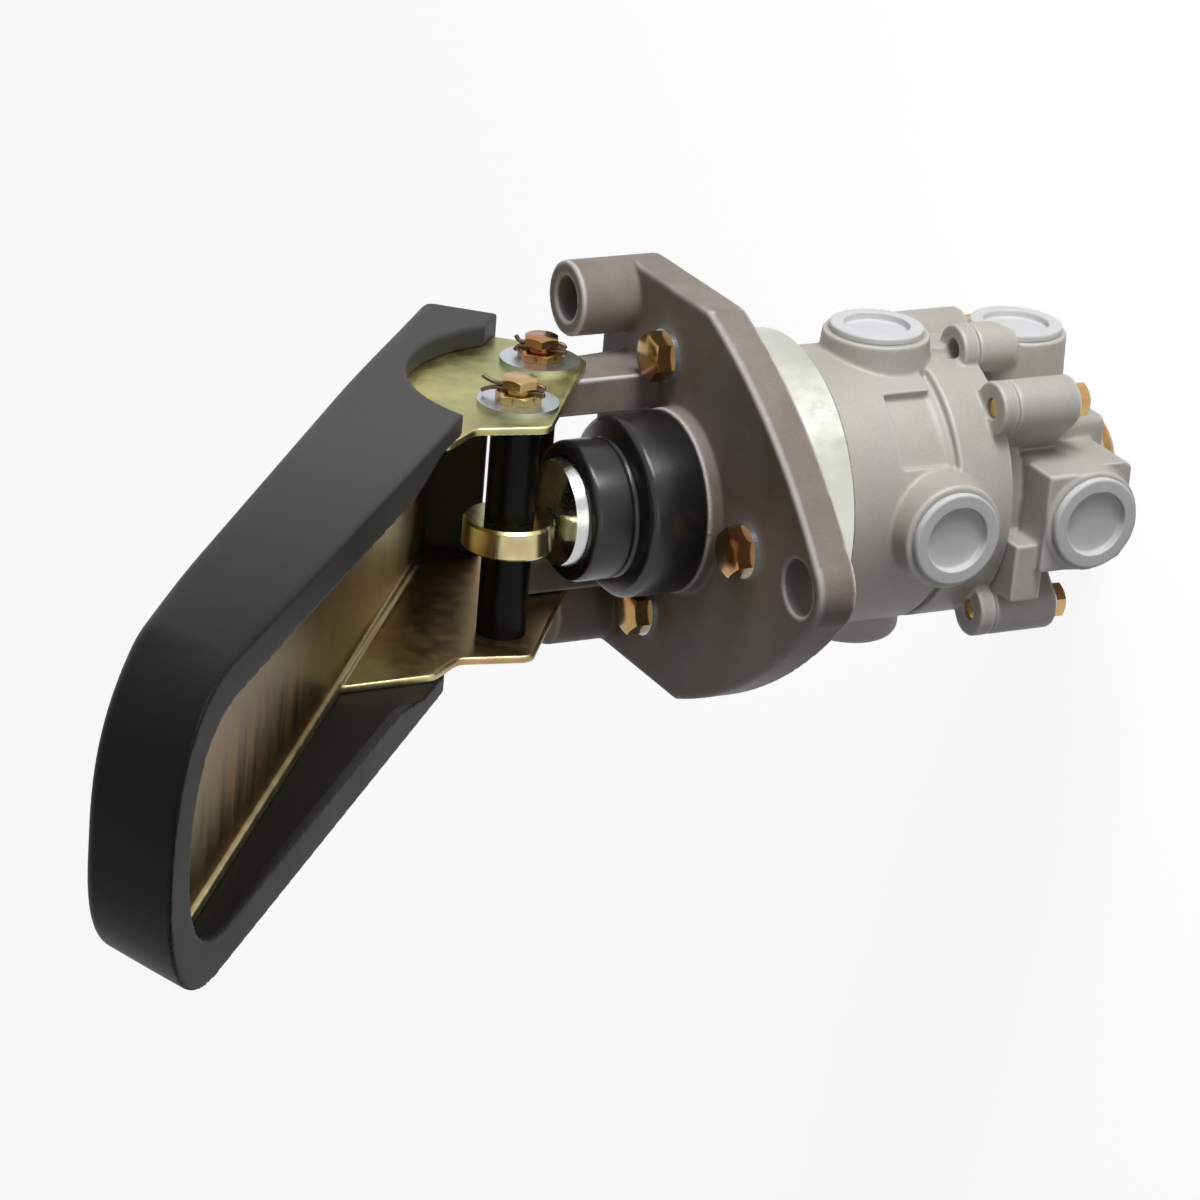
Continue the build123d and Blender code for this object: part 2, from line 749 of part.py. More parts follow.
# Main piston, its seal and its return spring
with BuildPart() as main_piston:
    crown_bottom = piston_crown_top - piston_crown_thick
    seal_z = piston_crown_top - piston_crown_thick / 2
    piston_radius = piston_bore_radius - slide_gap
    with BuildSketch(Plane.XZ):
        with BuildLine():
            Polyline(
                (tube_bore, piston_crown_top - 2),
                (tube_bore, partition_bottom + tube_lift),
                (tube_radius, partition_bottom + tube_lift),
                (tube_radius, crown_bottom),
                (piston_radius, crown_bottom),
                (piston_radius, piston_skirt_top),
                (piston_radius - piston_skirt_wall, piston_skirt_top),
                (piston_radius - piston_skirt_wall, piston_crown_top),
                (0, piston_crown_top),
                (0, piston_crown_top - 2),
                close=True,
            )
        make_face()
        with Locations((piston_radius, seal_z)):
            Rectangle(4 * seal_section, 2 * (seal_section + thread_gap), mode=Mode.SUBTRACT)
    revolve(axis=Axis.Z)
save(main_piston.part, "main_piston")
save(seal_ring(piston_bore_radius, seal_z), "main_piston_seal")
save(coil(11.5, 1.1, partition_top, crown_bottom, 4), "main_piston_spring")


def poppet(seat_z, tube_bottom):
    """Inlet valve: a disc under its seat on a hollow tube."""
    disc_top = seat_z - seat_gap
    with BuildPart() as valve:
        with BuildSketch(Plane.XZ):
            with BuildLine():
                Polyline(
                    (tube_bore, disc_top),
                    (valve_disc_radius, disc_top),
                    (valve_disc_radius, disc_top - valve_disc_thick),
                    (valve_tube_radius, disc_top - valve_disc_thick),
                    (valve_tube_radius, tube_bottom),
                    (tube_bore, tube_bottom),
                    close=True,
                )
            make_face()
        revolve(axis=Axis.Z)
    return valve.part


def guide_plate(outer_radius, top):
    """Plate that guides a valve's tube and carries its spring."""
    with BuildPart() as guide:
        with BuildSketch(Plane.XY.offset(top)):
            Circle(outer_radius - thread_gap)
            Circle(valve_tube_radius + slide_gap, mode=Mode.SUBTRACT)
        extrude(amount=-guide_thick)
        with BuildSketch(Plane.XY.offset(top)):
            with PolarLocations((outer_radius + valve_tube_radius) / 2 + 1, 6):
                Circle(1.6)
        extrude(amount=-guide_thick, mode=Mode.SUBTRACT)
    return guide.part


# Upper inlet valve
upper_disc_bottom = partition_bottom - seat_gap - valve_disc_thick
save(poppet(partition_bottom, upper_guide_top - guide_thick - 1), "upper_valve")
save(guide_plate(chamber_radius, upper_guide_top), "upper_valve_guide")
save(coil(8.2, 0.8, upper_guide_top, upper_disc_bottom, 3), "upper_valve_spring")

# Relay piston, its seal and its return spring
with BuildPart() as relay_piston:
    relay_crown_bottom = relay_crown_top - relay_crown_thick
    relay_radius = relay_bore_radius - slide_gap
    relay_seal_z = relay_crown_top - relay_crown_thick / 2
    with BuildSketch(Plane.XZ):
        with BuildLine():
            Polyline(
                (tube_bore, relay_crown_top),
                (relay_radius, relay_crown_top),
                (relay_radius, relay_crown_bottom - relay_skirt),
                (relay_radius - piston_skirt_wall, relay_crown_bottom - relay_skirt),
                (relay_radius - piston_skirt_wall, relay_crown_bottom),
                (tube_radius, relay_crown_bottom),
                (tube_radius, lower_partition_bottom + tube_lift),
                (tube_bore, lower_partition_bottom + tube_lift),
                close=True,
            )
        make_face()
        with Locations((relay_radius, relay_seal_z)):
            Rectangle(4 * seal_section, 2 * (seal_section + thread_gap), mode=Mode.SUBTRACT)
    revolve(axis=Axis.Z)
save(relay_piston.part, "relay_piston")
save(seal_ring(relay_bore_radius, relay_seal_z), "relay_piston_seal")
save(coil(17.0, 1.1, relay_bore_bottom, relay_crown_bottom, 4), "relay_piston_spring")

# Lower inlet valve
lower_disc_bottom = lower_partition_bottom - seat_gap - valve_disc_thick
save(poppet(lower_partition_bottom, lower_guide_top - guide_thick - 2), "lower_valve")
save(guide_plate(lower_chamber_radius, lower_guide_top), "lower_valve_guide")
save(coil(8.2, 0.8, lower_guide_top, lower_disc_bottom, 4), "lower_valve_spring")

# Clip under the lower guide
with BuildPart() as guide_clip:
    clip_top = lower_guide_top - guide_thick
    with BuildSketch(Plane.XY.offset(clip_top)):
        Circle(lower_chamber_radius - thread_gap)
        Circle(lower_chamber_radius - snap_ring_bite * 2, mode=Mode.SUBTRACT)
        with Locations((0, -lower_chamber_radius)):
            Rectangle(6, 6, mode=Mode.SUBTRACT)
    extrude(amount=-snap_ring_thick)
save(guide_clip.part, "guide_clip")


def toe_form(half_width, toe, heel):
    """Round-toed form, as seen from the foot, whose toe leans in towards the foot."""
    with BuildPart() as form:
        for level in (form_bottom, form_top):
            toe_end = toe - toe_draft * (level - rim_n)
            with BuildSketch(pedal_flat.offset(level)):
                with BuildLine():
                    Line((heel, half_width), (toe_end - half_width, half_width))
                    ThreePointArc((toe_end - half_width, half_width), (toe_end, 0),
                                  (toe_end - half_width, -half_width))
                    Polyline((toe_end - half_width, -half_width), (heel, -half_width),
                             (heel, half_width))
                make_face()
        loft()
    return form.part


# Treadle: pressed sheet with a web and two flanges that end in ears
treadle_form = toe_form(ear_outer_y, toe_s - rubber_wall, heel_s)
with BuildPart() as treadle:
    with BuildSketch(pivot_side):
        with BuildLine():
            Polyline(
                (heel_s, web_n(heel_s)),
                (toe_s, web_n(toe_s)),
                (toe_s, web_n(toe_s) + sheet),
                (heel_s, web_n(heel_s) + sheet),
                close=True,
            )
        make_face()
    extrude(amount=ear_outer_y, both=True)
    add(treadle_form, mode=Mode.INTERSECT)
    for side in (1, -1):
        with BuildSketch(pivot_side.offset(side * (ear_outer_y - sheet / 2))):
            with BuildLine():
                Polyline(
                    (heel_s, web_n(heel_s) + sheet / 2),
                    *ear_corners,
                    (ear_top_s, web_n(ear_top_s) + sheet / 2),
                    close=True,
                )
            ear = make_face()
            fillet([v for v in ear.vertices() if v.Y < web_n(0) / 2], radius=ear_round)
        extrude(amount=sheet / 2, both=True)
    with Locations(pivot_side, roller_side):
        Cylinder(pin_radius + pin_gap, 3 * ear_outer_y, mode=Mode.SUBTRACT)
save(treadle.part, "treadle")

# Space inside the rubber cover, which the treadle fills at its foot side
tub_form = toe_form(ear_outer_y, toe_s - rubber_wall, heel_s)
with BuildPart() as tub_space:
    with BuildSketch(pivot_side):
        with BuildLine():
            Polyline(
                (heel_s, web_n(heel_s) + sheet),
                (toe_s, web_n(toe_s) + sheet),
                (toe_s, form_bottom),
                (heel_s, form_bottom),
                close=True,
            )
        make_face()
    extrude(amount=ear_outer_y, both=True)
    add(tub_form, mode=Mode.INTERSECT)

# Rubber cover over the treadle
cut_left_s = ear_cut_s - sqrt(ear_cut_radius ** 2 - (heel_wall_n - ear_cut_n) ** 2)
cut_right_s = ear_cut_s + sqrt(ear_cut_radius ** 2 - (rim_n - ear_cut_n) ** 2)
rubber_heel = heel_s - rubber_heel_wall
cover_form = toe_form(rubber_half_width, toe_s, rubber_heel)
with BuildPart() as pedal_rubber:
    with BuildSketch(pivot_side):
        with BuildLine():
            Polyline(
                (cut_right_s, rim_n),
                (toe_s, rim_n),
                (toe_s, foot_n(toe_s)),
                (rubber_heel, foot_n(rubber_heel)),
                (rubber_heel, heel_wall_n),
                (cut_left_s, heel_wall_n),
            )
            ThreePointArc((cut_left_s, heel_wall_n), (ear_cut_s, ear_cut_n + ear_cut_radius),
                          (cut_right_s, rim_n))
        make_face()
    extrude(amount=rubber_half_width, both=True)
    add(cover_form, mode=Mode.INTERSECT)
    foot_face = pedal_rubber.faces().sort_by(Axis((0, 0, 0), upward))[-1]
    fillet(foot_face.edges(), radius=foot_edge_round)
    add(tub_space.part, mode=Mode.SUBTRACT)
    for i in range(tread_count):
        s = tread_first_s + i * tread_pitch
        with BuildSketch(pivot_side):
            with Locations((s, foot_n(s))):
                Rectangle(tread_width, 2 * tread_depth)
        extrude(amount=tread_length / 2, both=True, mode=Mode.SUBTRACT)
save(pedal_rubber.part, "pedal_rubber")

# Clevis pins with their washers and split pins
for name, side in (("pivot", pivot_side), ("roller", roller_side)):
    with BuildPart() as clevis_pin:
        with Locations(side.offset(-pin_end_y)):
            Cylinder(pin_radius, pin_end_y + ear_outer_y, align=outwards)
        with Locations(side.offset(ear_outer_y)):
            Cylinder(pin_head_radius, pin_head_height, align=outwards)
        with Locations(cross_plane(side)):
            Cylinder(split_pin_radius, 4 * pin_radius, mode=Mode.SUBTRACT)
    save(clevis_pin.part, f"{name}_pin")
    with BuildPart() as pin_washer:
        with BuildSketch(side.offset(-ear_outer_y)):
            Circle(pin_washer_radius)
            Circle(pin_radius + thread_gap, mode=Mode.SUBTRACT)
        extrude(amount=-pin_washer_thick)
    save(pin_washer.part, f"{name}_pin_washer")
    with BuildPart() as split_pin:
        with Locations(cross_plane(side).offset(-split_pin_eye_height)):
            Cylinder(split_pin_radius, split_pin_eye_height + split_pin_reach, align=outwards)
            Sphere(split_pin_eye)
    save(split_pin.part, f"{name}_split_pin")

# Sleeves on the roller pin, one each side of the roller
roller_faces_y = (roller_centre_y - roller_width / 2, roller_centre_y + roller_width / 2)
with BuildPart() as spacer_sleeves:
    for low, high in ((-ear_inner_y, roller_faces_y[0] - slide_gap),
                      (roller_faces_y[1] + slide_gap, ear_inner_y)):
        with BuildSketch(roller_side.offset(-low)):
            Circle(pin_radius + thread_gap + sleeve_wall)
            Circle(pin_radius + thread_gap, mode=Mode.SUBTRACT)
        extrude(amount=low - high)
save(spacer_sleeves.part, "spacer_sleeves")

# Roller and its bush
roller_plane = roller_side.offset(-roller_centre_y)
bush_outside = pin_radius + pin_gap + roller_bush_wall
with BuildPart() as roller:
    with BuildSketch(roller_plane):
        Circle(roller_radius)
        Circle(bush_outside, mode=Mode.SUBTRACT)
    extrude(amount=roller_width / 2, both=True)
    roller_rims = [e for e in roller.edges().filter_by(GeomType.CIRCLE)
                   if abs(e.radius - roller_radius) < 0.01]
    chamfer(roller_rims, length=0.8)
save(roller.part, "roller")

with BuildPart() as roller_bush:
    with BuildSketch(roller_plane):
        Circle(bush_outside)
        Circle(pin_radius + pin_gap, mode=Mode.SUBTRACT)
    extrude(amount=roller_width / 2, both=True)
save(roller_bush.part, "roller_bush")
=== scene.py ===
import json
import math

import bmesh
import bpy
from mathutils import Matrix, Vector


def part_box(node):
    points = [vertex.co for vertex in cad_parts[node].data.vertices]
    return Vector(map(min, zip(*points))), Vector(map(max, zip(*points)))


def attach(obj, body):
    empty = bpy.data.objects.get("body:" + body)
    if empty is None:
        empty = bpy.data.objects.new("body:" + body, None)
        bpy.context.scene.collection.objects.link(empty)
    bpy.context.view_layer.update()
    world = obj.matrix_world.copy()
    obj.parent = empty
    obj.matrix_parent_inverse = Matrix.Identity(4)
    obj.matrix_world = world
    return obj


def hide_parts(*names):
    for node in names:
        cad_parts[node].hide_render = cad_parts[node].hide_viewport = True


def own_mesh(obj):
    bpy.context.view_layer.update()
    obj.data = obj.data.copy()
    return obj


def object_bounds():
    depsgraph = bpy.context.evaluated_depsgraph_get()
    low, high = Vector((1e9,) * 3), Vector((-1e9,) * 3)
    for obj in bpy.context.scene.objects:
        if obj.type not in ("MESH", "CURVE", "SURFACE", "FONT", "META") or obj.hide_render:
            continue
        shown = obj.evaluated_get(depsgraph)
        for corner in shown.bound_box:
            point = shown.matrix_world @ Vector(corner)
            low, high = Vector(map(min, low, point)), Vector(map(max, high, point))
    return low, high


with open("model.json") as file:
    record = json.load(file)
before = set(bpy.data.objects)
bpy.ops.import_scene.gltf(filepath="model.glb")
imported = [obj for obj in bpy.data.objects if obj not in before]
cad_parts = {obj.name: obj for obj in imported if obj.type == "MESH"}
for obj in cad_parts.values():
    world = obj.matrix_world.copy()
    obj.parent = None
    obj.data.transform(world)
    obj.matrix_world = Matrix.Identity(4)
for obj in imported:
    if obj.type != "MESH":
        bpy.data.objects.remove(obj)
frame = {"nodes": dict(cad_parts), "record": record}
cad_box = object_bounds()

# Camera: the photograph's viewing angle, worked out from the round parts
CAMERA_PLACE = Vector((1.14791, 0.49350, 0.66684))
CAMERA_RIGHT = Vector((0.45288, 0.07876, -0.88809))
CAMERA_UP = Vector((-0.36443, 0.92543, -0.10377))
LENS_MM = 144.0
SENSOR_MM = 36.0

# Lengths without another note are in millimetres, and this turns them into metres
MM = 0.001

# The two clevis pins as (x, z), and the outer face of their washers
PIVOT = (-27.2, 46.9)
ROLLER = (4.2, 69.4)
WASHER_TOP = 37.7

# The pedal's own directions: s runs from the pivot to the toe, n towards the driver's foot
PEDAL_LEAN = math.radians(42.0)
PEDAL_ALONG = Vector((math.cos(PEDAL_LEAN), 0.0, math.sin(PEDAL_LEAN)))
PEDAL_UPWARD = Vector((-math.sin(PEDAL_LEAN), 0.0, math.cos(PEDAL_LEAN)))

# The tub: where its toe ends, its toe's radius, its rim, and its foot face, which falls with s
TOE_S = 304.5
TOE_RADIUS = 42.5
RIM_N = 3.0
FOOT_N = 42.0
FOOT_FALL = 0.042

# How square the toe is (2 is round). The crown lifts the foot face: its height, the stretches
# of s over which it rises and fades, and how deep under the face it starts and is full.
TOE_POWER = 2.4
CROWN = 2.2
CROWN_RISE = (-36.0, 70.0)
CROWN_FADE = (200.0, 290.0)
CROWN_SKIN = (5.0, 2.0)

# The lip inside the tub's rim: where it starts, where it is full, its sides and its thickness
LIP_START = 86.0
LIP_FULL = 112.0
LIP_OUTER = 39.5
LIP_INNER = 31.5
LIP_ROOT = 36.6
LIP_THICK = 3.2

# The treadle's web, which falls with s, and the bead along its edges
WEB_N = 34.5
WEB_FALL = 0.075
BEAD_OUTER = 36.1
BEAD_INNER = 32.6
BEAD_ABOVE = 0.6
BEAD_BELOW = 1.7

# Each node's body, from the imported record
BODY_OF = {node: body for body, nodes in frame["record"]["behaviour"]["bodies"].items()
           for node in nodes}


def add_camera():
    """The camera, at the photograph's viewing angle."""
    back = CAMERA_RIGHT.cross(CAMERA_UP)
    turn = Matrix((CAMERA_RIGHT, CAMERA_UP, back)).transposed().to_4x4()
    data = bpy.data.cameras.new("camera")
    data.lens = LENS_MM
    data.sensor_width = SENSOR_MM
    data.clip_end = 20.0
    camera = bpy.data.objects.new("camera", data)
    camera.matrix_world = Matrix.Translation(CAMERA_PLACE) @ turn
    bpy.context.collection.objects.link(camera)
    bpy.context.scene.camera = camera


# Material building. Pointiness is 0.5 on a flat face and more on an outer edge.
# On the castings, edges this pointed turn paler: partly wear, partly a painted highlight.
CAST_EDGE_HIGHLIGHT = (0.506, 0.53)
# On the treadle, edges this pointed turn paler: a painted highlight.
TREADLE_EDGE_HIGHLIGHT = (0.52, 0.56)

# Where the pedal's materials change, with painted shade and painted highlights, in metres along
# the pedal from the frame's origin, or in metres to the side
# The treadle turns darker and browner over this stretch towards the toe: painted shade and
# reflection.
TREADLE_SHADE_SPAN = (0.055, 0.135)
# A pale band along the treadle's bend, past this stretch and at this side: a painted highlight.
HIGHLIGHT_BEND_PAST = (0.075, 0.095)
HIGHLIGHT_BEND_SIDE = (0.0322, 0.0328)
# The far ear's inner face turns darker and redder: painted shade.
FAR_EAR_SHADE_SIDE = (-0.0335, -0.0300)
# The tub turns blacker over this stretch towards the toe: painted shade.
TUB_SHADE_SPAN = (0.10, 0.26)
# The tub's far wall turns darker: painted shade.
FAR_WALL_SHADE_SIDE = (-0.034, -0.030)


class Graph:
    """A material's node tree, with short calls for the nodes used here."""

    def __init__(self, name):
        self.material = bpy.data.materials.new(name)
        self.material.use_nodes = True
        self.tree = self.material.node_tree
        self.shader = self.tree.nodes["Principled BSDF"]
        self.coords = self.add("ShaderNodeTexCoord").outputs["Object"]

    def add(self, kind, **settings):
        node = self.tree.nodes.new(kind)
        for key, value in settings.items():
            setattr(node, key, value)
        return node

    def link(self, output, socket):
        self.tree.links.new(output, socket)

    def set(self, socket, value):
        self.shader.inputs[socket].default_value = value

    def stretched(self, stretch, turn=(0, 0, 0)):
        node = self.add("ShaderNodeMapping")
        node.inputs["Scale"].default_value = stretch
        node.inputs["Rotation"].default_value = turn
        self.link(self.coords, node.inputs["Vector"])
        return node.outputs["Vector"]

    def noise(self, scale, detail=4.0, roughness=0.5, coords=None):
        node = self.add("ShaderNodeTexNoise")
        node.inputs["Scale"].default_value = scale
        node.inputs["Detail"].default_value = detail
        node.inputs["Roughness"].default_value = roughness
        self.link(coords or self.coords, node.inputs["Vector"])
        return node.outputs["Fac"]

    def ramp(self, value, *stops):
        """A colour ramp with stops of (place, colour)."""
        node = self.add("ShaderNodeValToRGB")
        band = node.color_ramp
        while len(band.elements) < len(stops):
            band.elements.new(0.5)
        for element, (place, colour) in zip(band.elements, stops):
            element.position = place
            element.color = (*colour, 1.0)
        self.link(value, node.inputs["Fac"])
        return node.outputs["Color"]

    def levels(self, value, low, high, from_low=0.3, from_high=0.7):
        """Low where the value is from_low, high where it is from_high."""
        node = self.add("ShaderNodeMapRange")
        node.inputs["From Min"].default_value = from_low
        node.inputs["From Max"].default_value = from_high
        node.inputs["To Min"].default_value = low
        node.inputs["To Max"].default_value = high
        self.link(value, node.inputs["Value"])
        return node.outputs["Result"]

    def mix(self, share, first, second, mode="MIX"):
        """Mixes two colours. Sockets 0, 6 and 7 are the factor and the two colours."""
        node = self.add("ShaderNodeMix", data_type="RGBA", blend_type=mode)
        for socket, value in ((node.inputs[0], share), (node.inputs[6], first),
                              (node.inputs[7], second)):
            if hasattr(value, "is_linked"):
                self.link(value, socket)
            elif isinstance(value, tuple):
                socket.default_value = (*value, 1.0)
            else:
                socket.default_value = value
        return node.outputs[2]

    def bump(self, height, strength, distance):
        node = self.add("ShaderNodeBump")
        node.inputs["Strength"].default_value = strength
        node.inputs["Distance"].default_value = distance
        self.link(height, node.inputs["Height"])
        self.link(node.outputs["Normal"], self.shader.inputs["Normal"])


def cast_metal(name, dark, pale, metallic, rough, edge, grain=1100.0):
    """Cast or blasted aluminium: faintly mottled, with a fine grain and paler edges, which are
    partly wear and partly a painted highlight.
    """
    g = Graph(name)
    broad = g.noise(28.0, 3.0, 0.6)
    fine = g.noise(grain, 3.0, 0.7)
    tone = g.ramp(broad, (0.3, dark), (0.7, pale))
    speckle = g.levels(fine, 0.92, 1.06)
    shade = g.mix(1.0, tone, speckle, "MULTIPLY")
    # Paler edges: partly wear, partly a painted highlight along the rims.
    corner = g.add("ShaderNodeNewGeometry").outputs["Pointiness"]
    shade = g.mix(g.levels(corner, 0.0, 0.9, *CAST_EDGE_HIGHLIGHT), shade, edge)
    g.link(shade, g.shader.inputs["Base Color"])
    g.link(g.levels(fine, rough - 0.06, rough + 0.1), g.shader.inputs["Roughness"])
    g.set("Metallic", metallic)
    g.bump(fine, 0.25, 0.00018)
    return g.material


def yellow_zinc(name, gold, olive, pink, rough, streak=(30.0, 400.0, 400.0)):
    """Yellow passivated zinc, with soft clouds of green and pink."""
    g = Graph(name)
    clouds = g.noise(70.0, 2.0, 0.5)
    drift = g.noise(30.0, 1.0, 0.5)
    lines = g.noise(6.0, 4.0, 0.6, g.stretched(streak))
    base = g.ramp(clouds, (0.32, olive), (0.5, gold), (0.68, pink))
    shade = g.mix(g.levels(drift, 0.0, 0.6), base, gold)
    g.link(g.mix(1.0, shade, g.levels(lines, 0.94, 1.04), "MULTIPLY"),
           g.shader.inputs["Base Color"])
    g.link(g.levels(lines, rough - 0.03, rough + 0.05), g.shader.inputs["Roughness"])
    g.set("Metallic", 1.0)
    g.bump(lines, 0.05, 0.00005)
    return g.material


def plated(name, colour, rough, streak=(300.0, 300.0, 20.0)):
    """Bright plated or turned metal with fine lines."""
    g = Graph(name)
    lines = g.noise(5.0, 3.0, 0.6, g.stretched(streak))
    clouds = g.noise(30.0, 3.0, 0.6)
    dull = tuple(0.82 * c for c in colour)
    g.link(g.ramp(clouds, (0.3, dull), (0.65, colour)), g.shader.inputs["Base Color"])
    g.link(g.levels(lines, rough - 0.05, rough + 0.1), g.shader.inputs["Roughness"])
    g.set("Metallic", 1.0)
    g.bump(lines, 0.06, 0.00005)
    return g.material


def rubber(name, colour, rough, grain=700.0, depth=0.00012):
    """Moulded rubber: nearly even, with a faint grain and dusty patches."""
    g = Graph(name)
    fine = g.noise(grain, 4.0, 0.65)
    dust = g.noise(14.0, 5.0, 0.6)
    pale = tuple(1.35 * c + 0.003 for c in colour)
    g.link(g.ramp(dust, (0.35, colour), (0.75, pale)), g.shader.inputs["Base Color"])
    g.link(g.levels(dust, rough - 0.04, rough + 0.08), g.shader.inputs["Roughness"])
    g.set("Specular IOR Level", 0.45)
    g.bump(fine, 0.25, depth)
    return g.material


def plastic(name, colour, rough):
    """Moulded plastic with faint flow marks."""
    g = Graph(name)
    flow = g.noise(60.0, 3.0, 0.5)
    dull = tuple(0.93 * c for c in colour)
    g.link(g.ramp(flow, (0.3, dull), (0.7, colour)), g.shader.inputs["Base Color"])
    g.link(g.levels(flow, rough - 0.04, rough + 0.05), g.shader.inputs["Roughness"])
    g.bump(flow, 0.05, 0.0001)
    return g.material


def set_gloss(material, level):
    """Sets how strongly a material that isn't metal reflects."""
    shader = material.node_tree.nodes["Principled BSDF"]
    shader.inputs["Specular IOR Level"].default_value = level


cast_body = cast_metal("cast_body", (0.43, 0.405, 0.375), (0.50, 0.475, 0.445), 0.1, 0.5,
                       (0.58, 0.56, 0.54))
cast_plate = cast_metal("cast_plate", (0.21, 0.17, 0.15), (0.34, 0.29, 0.275), 0.0, 0.45,
                        (0.70, 0.66, 0.67))
set_gloss(cast_plate, 0.12)
ring_zinc = plated("ring_zinc", (0.72, 0.73, 0.67), 0.3, (60.0, 60.0, 40.0))
washer_zinc = plated("washer_zinc", (0.62, 0.66, 0.68), 0.32)
turned_steel = plated("turned_steel", (0.66, 0.66, 0.65), 0.2)
dark_wire = plated("dark_wire", (0.16, 0.11, 0.075), 0.35)
bearing = plated("bearing_bronze", (0.50, 0.36, 0.20), 0.3)
bolt_zinc = yellow_zinc("bolt_zinc", (0.42, 0.25, 0.09), (0.26, 0.19, 0.07),
                        (0.42, 0.13, 0.09), 0.22, (100.0, 100.0, 100.0))
pale_gold = yellow_zinc("pale_gold", (0.56, 0.40, 0.17), (0.44, 0.38, 0.15),
                        (0.52, 0.25, 0.13), 0.26, (100.0, 100.0, 100.0))
roller_zinc = yellow_zinc("roller_zinc", (0.62, 0.56, 0.30), (0.46, 0.52, 0.26),
                          (0.36, 0.15, 0.09), 0.2)
boot_rubber = rubber("boot_rubber", (0.009, 0.009, 0.010), 0.26)
inner_rubber = rubber("inner_rubber", (0.020, 0.019, 0.018), 0.5)
sleeve_plastic = plastic("sleeve_plastic", (0.004, 0.004, 0.004), 0.3)
set_gloss(sleeve_plastic, 0.1)
plug_plastic = plastic("plug_plastic", (0.67, 0.685, 0.69), 0.42)


def treadle_finish():
    """Yellow zinc on the treadle: pale olive gold at the fork, browner and darker towards the
    toe as painted shade and reflection, with painted highlights on the bend and the edges and
    painted shade on the far ear.
    """
    g = Graph("treadle_zinc")
    clouds = g.noise(20.0, 2.0, 0.5)
    streaks = g.noise(4.0, 4.0, 0.6, g.stretched((40.0, 6.0, 40.0)))
    near = g.ramp(clouds, (0.30, (0.36, 0.39, 0.16)), (0.52, (0.58, 0.52, 0.22)),
                  (0.70, (0.58, 0.42, 0.26)))
    # The far colours are the near ones darker and browner: painted shade and reflection towards
    # the toe.
    far = g.ramp(clouds, (0.30, (0.16, 0.14, 0.05)), (0.50, (0.22, 0.14, 0.055)),
                 (0.70, (0.25, 0.115, 0.05)))
    reach = g.add("ShaderNodeVectorMath", operation="DOT_PRODUCT")
    g.link(g.coords, reach.inputs[0])
    reach.inputs[1].default_value = tuple(PEDAL_ALONG)
    toe_shade = g.levels(reach.outputs["Value"], 0.0, 1.0, *TREADLE_SHADE_SPAN)
    tone = g.mix(toe_shade, near, far)
    across = g.add("ShaderNodeSeparateXYZ")
    g.link(g.coords, across.inputs[0])
    width = g.add("ShaderNodeMath", operation="ABSOLUTE")
    g.link(across.outputs["Y"], width.inputs[0])
    # A pale gold band along the bend by the edges: a painted highlight.
    bend = g.mix(g.levels(width.outputs[0], 0.0, 1.0, *HIGHLIGHT_BEND_SIDE), (0, 0, 0), (1, 1, 1))
    past = g.levels(reach.outputs["Value"], 0.0, 1.0, *HIGHLIGHT_BEND_PAST)
    bend_highlight = g.add("ShaderNodeMath", operation="MULTIPLY")
    g.link(bend, bend_highlight.inputs[0])
    g.link(past, bend_highlight.inputs[1])
    # Darker and redder on the far ear's inner face: painted shade.
    far_ear_shade = g.levels(across.outputs["Y"], 0.75, 0.0, *FAR_EAR_SHADE_SIDE)
    tone = g.mix(far_ear_shade, tone, (0.40, 0.22, 0.12))
    tone = g.mix(bend_highlight.outputs[0], tone, (0.62, 0.54, 0.28))
    # Paler edges: a painted highlight.
    corner = g.add("ShaderNodeNewGeometry").outputs["Pointiness"]
    tone = g.mix(g.levels(corner, 0.0, 0.9, *TREADLE_EDGE_HIGHLIGHT), tone, (0.78, 0.68, 0.44))
    g.link(g.mix(1.0, tone, g.levels(streaks, 0.80, 1.12), "MULTIPLY"),
           g.shader.inputs["Base Color"])
    g.link(g.levels(streaks, 0.30, 0.44), g.shader.inputs["Roughness"])
    g.set("Metallic", 1.0)
    g.bump(streaks, 0.12, 0.0001)
    return g.material


def pad_finish():
    """The tub's rubber: greyer and duller near the heel, and blacker towards the toe and on the
    far wall, which is painted shade.
    """
    g = Graph("pad_rubber")
    fine = g.noise(700.0, 4.0, 0.65)
    dust = g.noise(14.0, 5.0, 0.6)
    reach = g.add("ShaderNodeVectorMath", operation="DOT_PRODUCT")
    g.link(g.coords, reach.inputs[0])
    reach.inputs[1].default_value = tuple(PEDAL_ALONG)
    # Blacker towards the toe: painted shade.
    toe_shade = g.levels(reach.outputs["Value"], 0.0, 1.0, *TUB_SHADE_SPAN)
    tone = g.mix(toe_shade, (0.056, 0.056, 0.058), (0.006, 0.006, 0.007))
    across = g.add("ShaderNodeSeparateXYZ")
    g.link(g.coords, across.inputs[0])
    # Darker on the far wall: painted shade.
    far_wall_shade = g.levels(across.outputs["Y"], 0.8, 0.0, *FAR_WALL_SHADE_SIDE)
    tone = g.mix(far_wall_shade, tone, (0.008, 0.008, 0.007))
    g.link(g.mix(1.0, tone, g.levels(dust, 0.85, 1.25), "MULTIPLY"),
           g.shader.inputs["Base Color"])
    g.link(g.levels(dust, 0.40, 0.52), g.shader.inputs["Roughness"])
    g.set("Specular IOR Level", 0.08)
    g.bump(fine, 0.25, 0.00012)
    return g.material


treadle_zinc = treadle_finish()
pad_rubber = pad_finish()

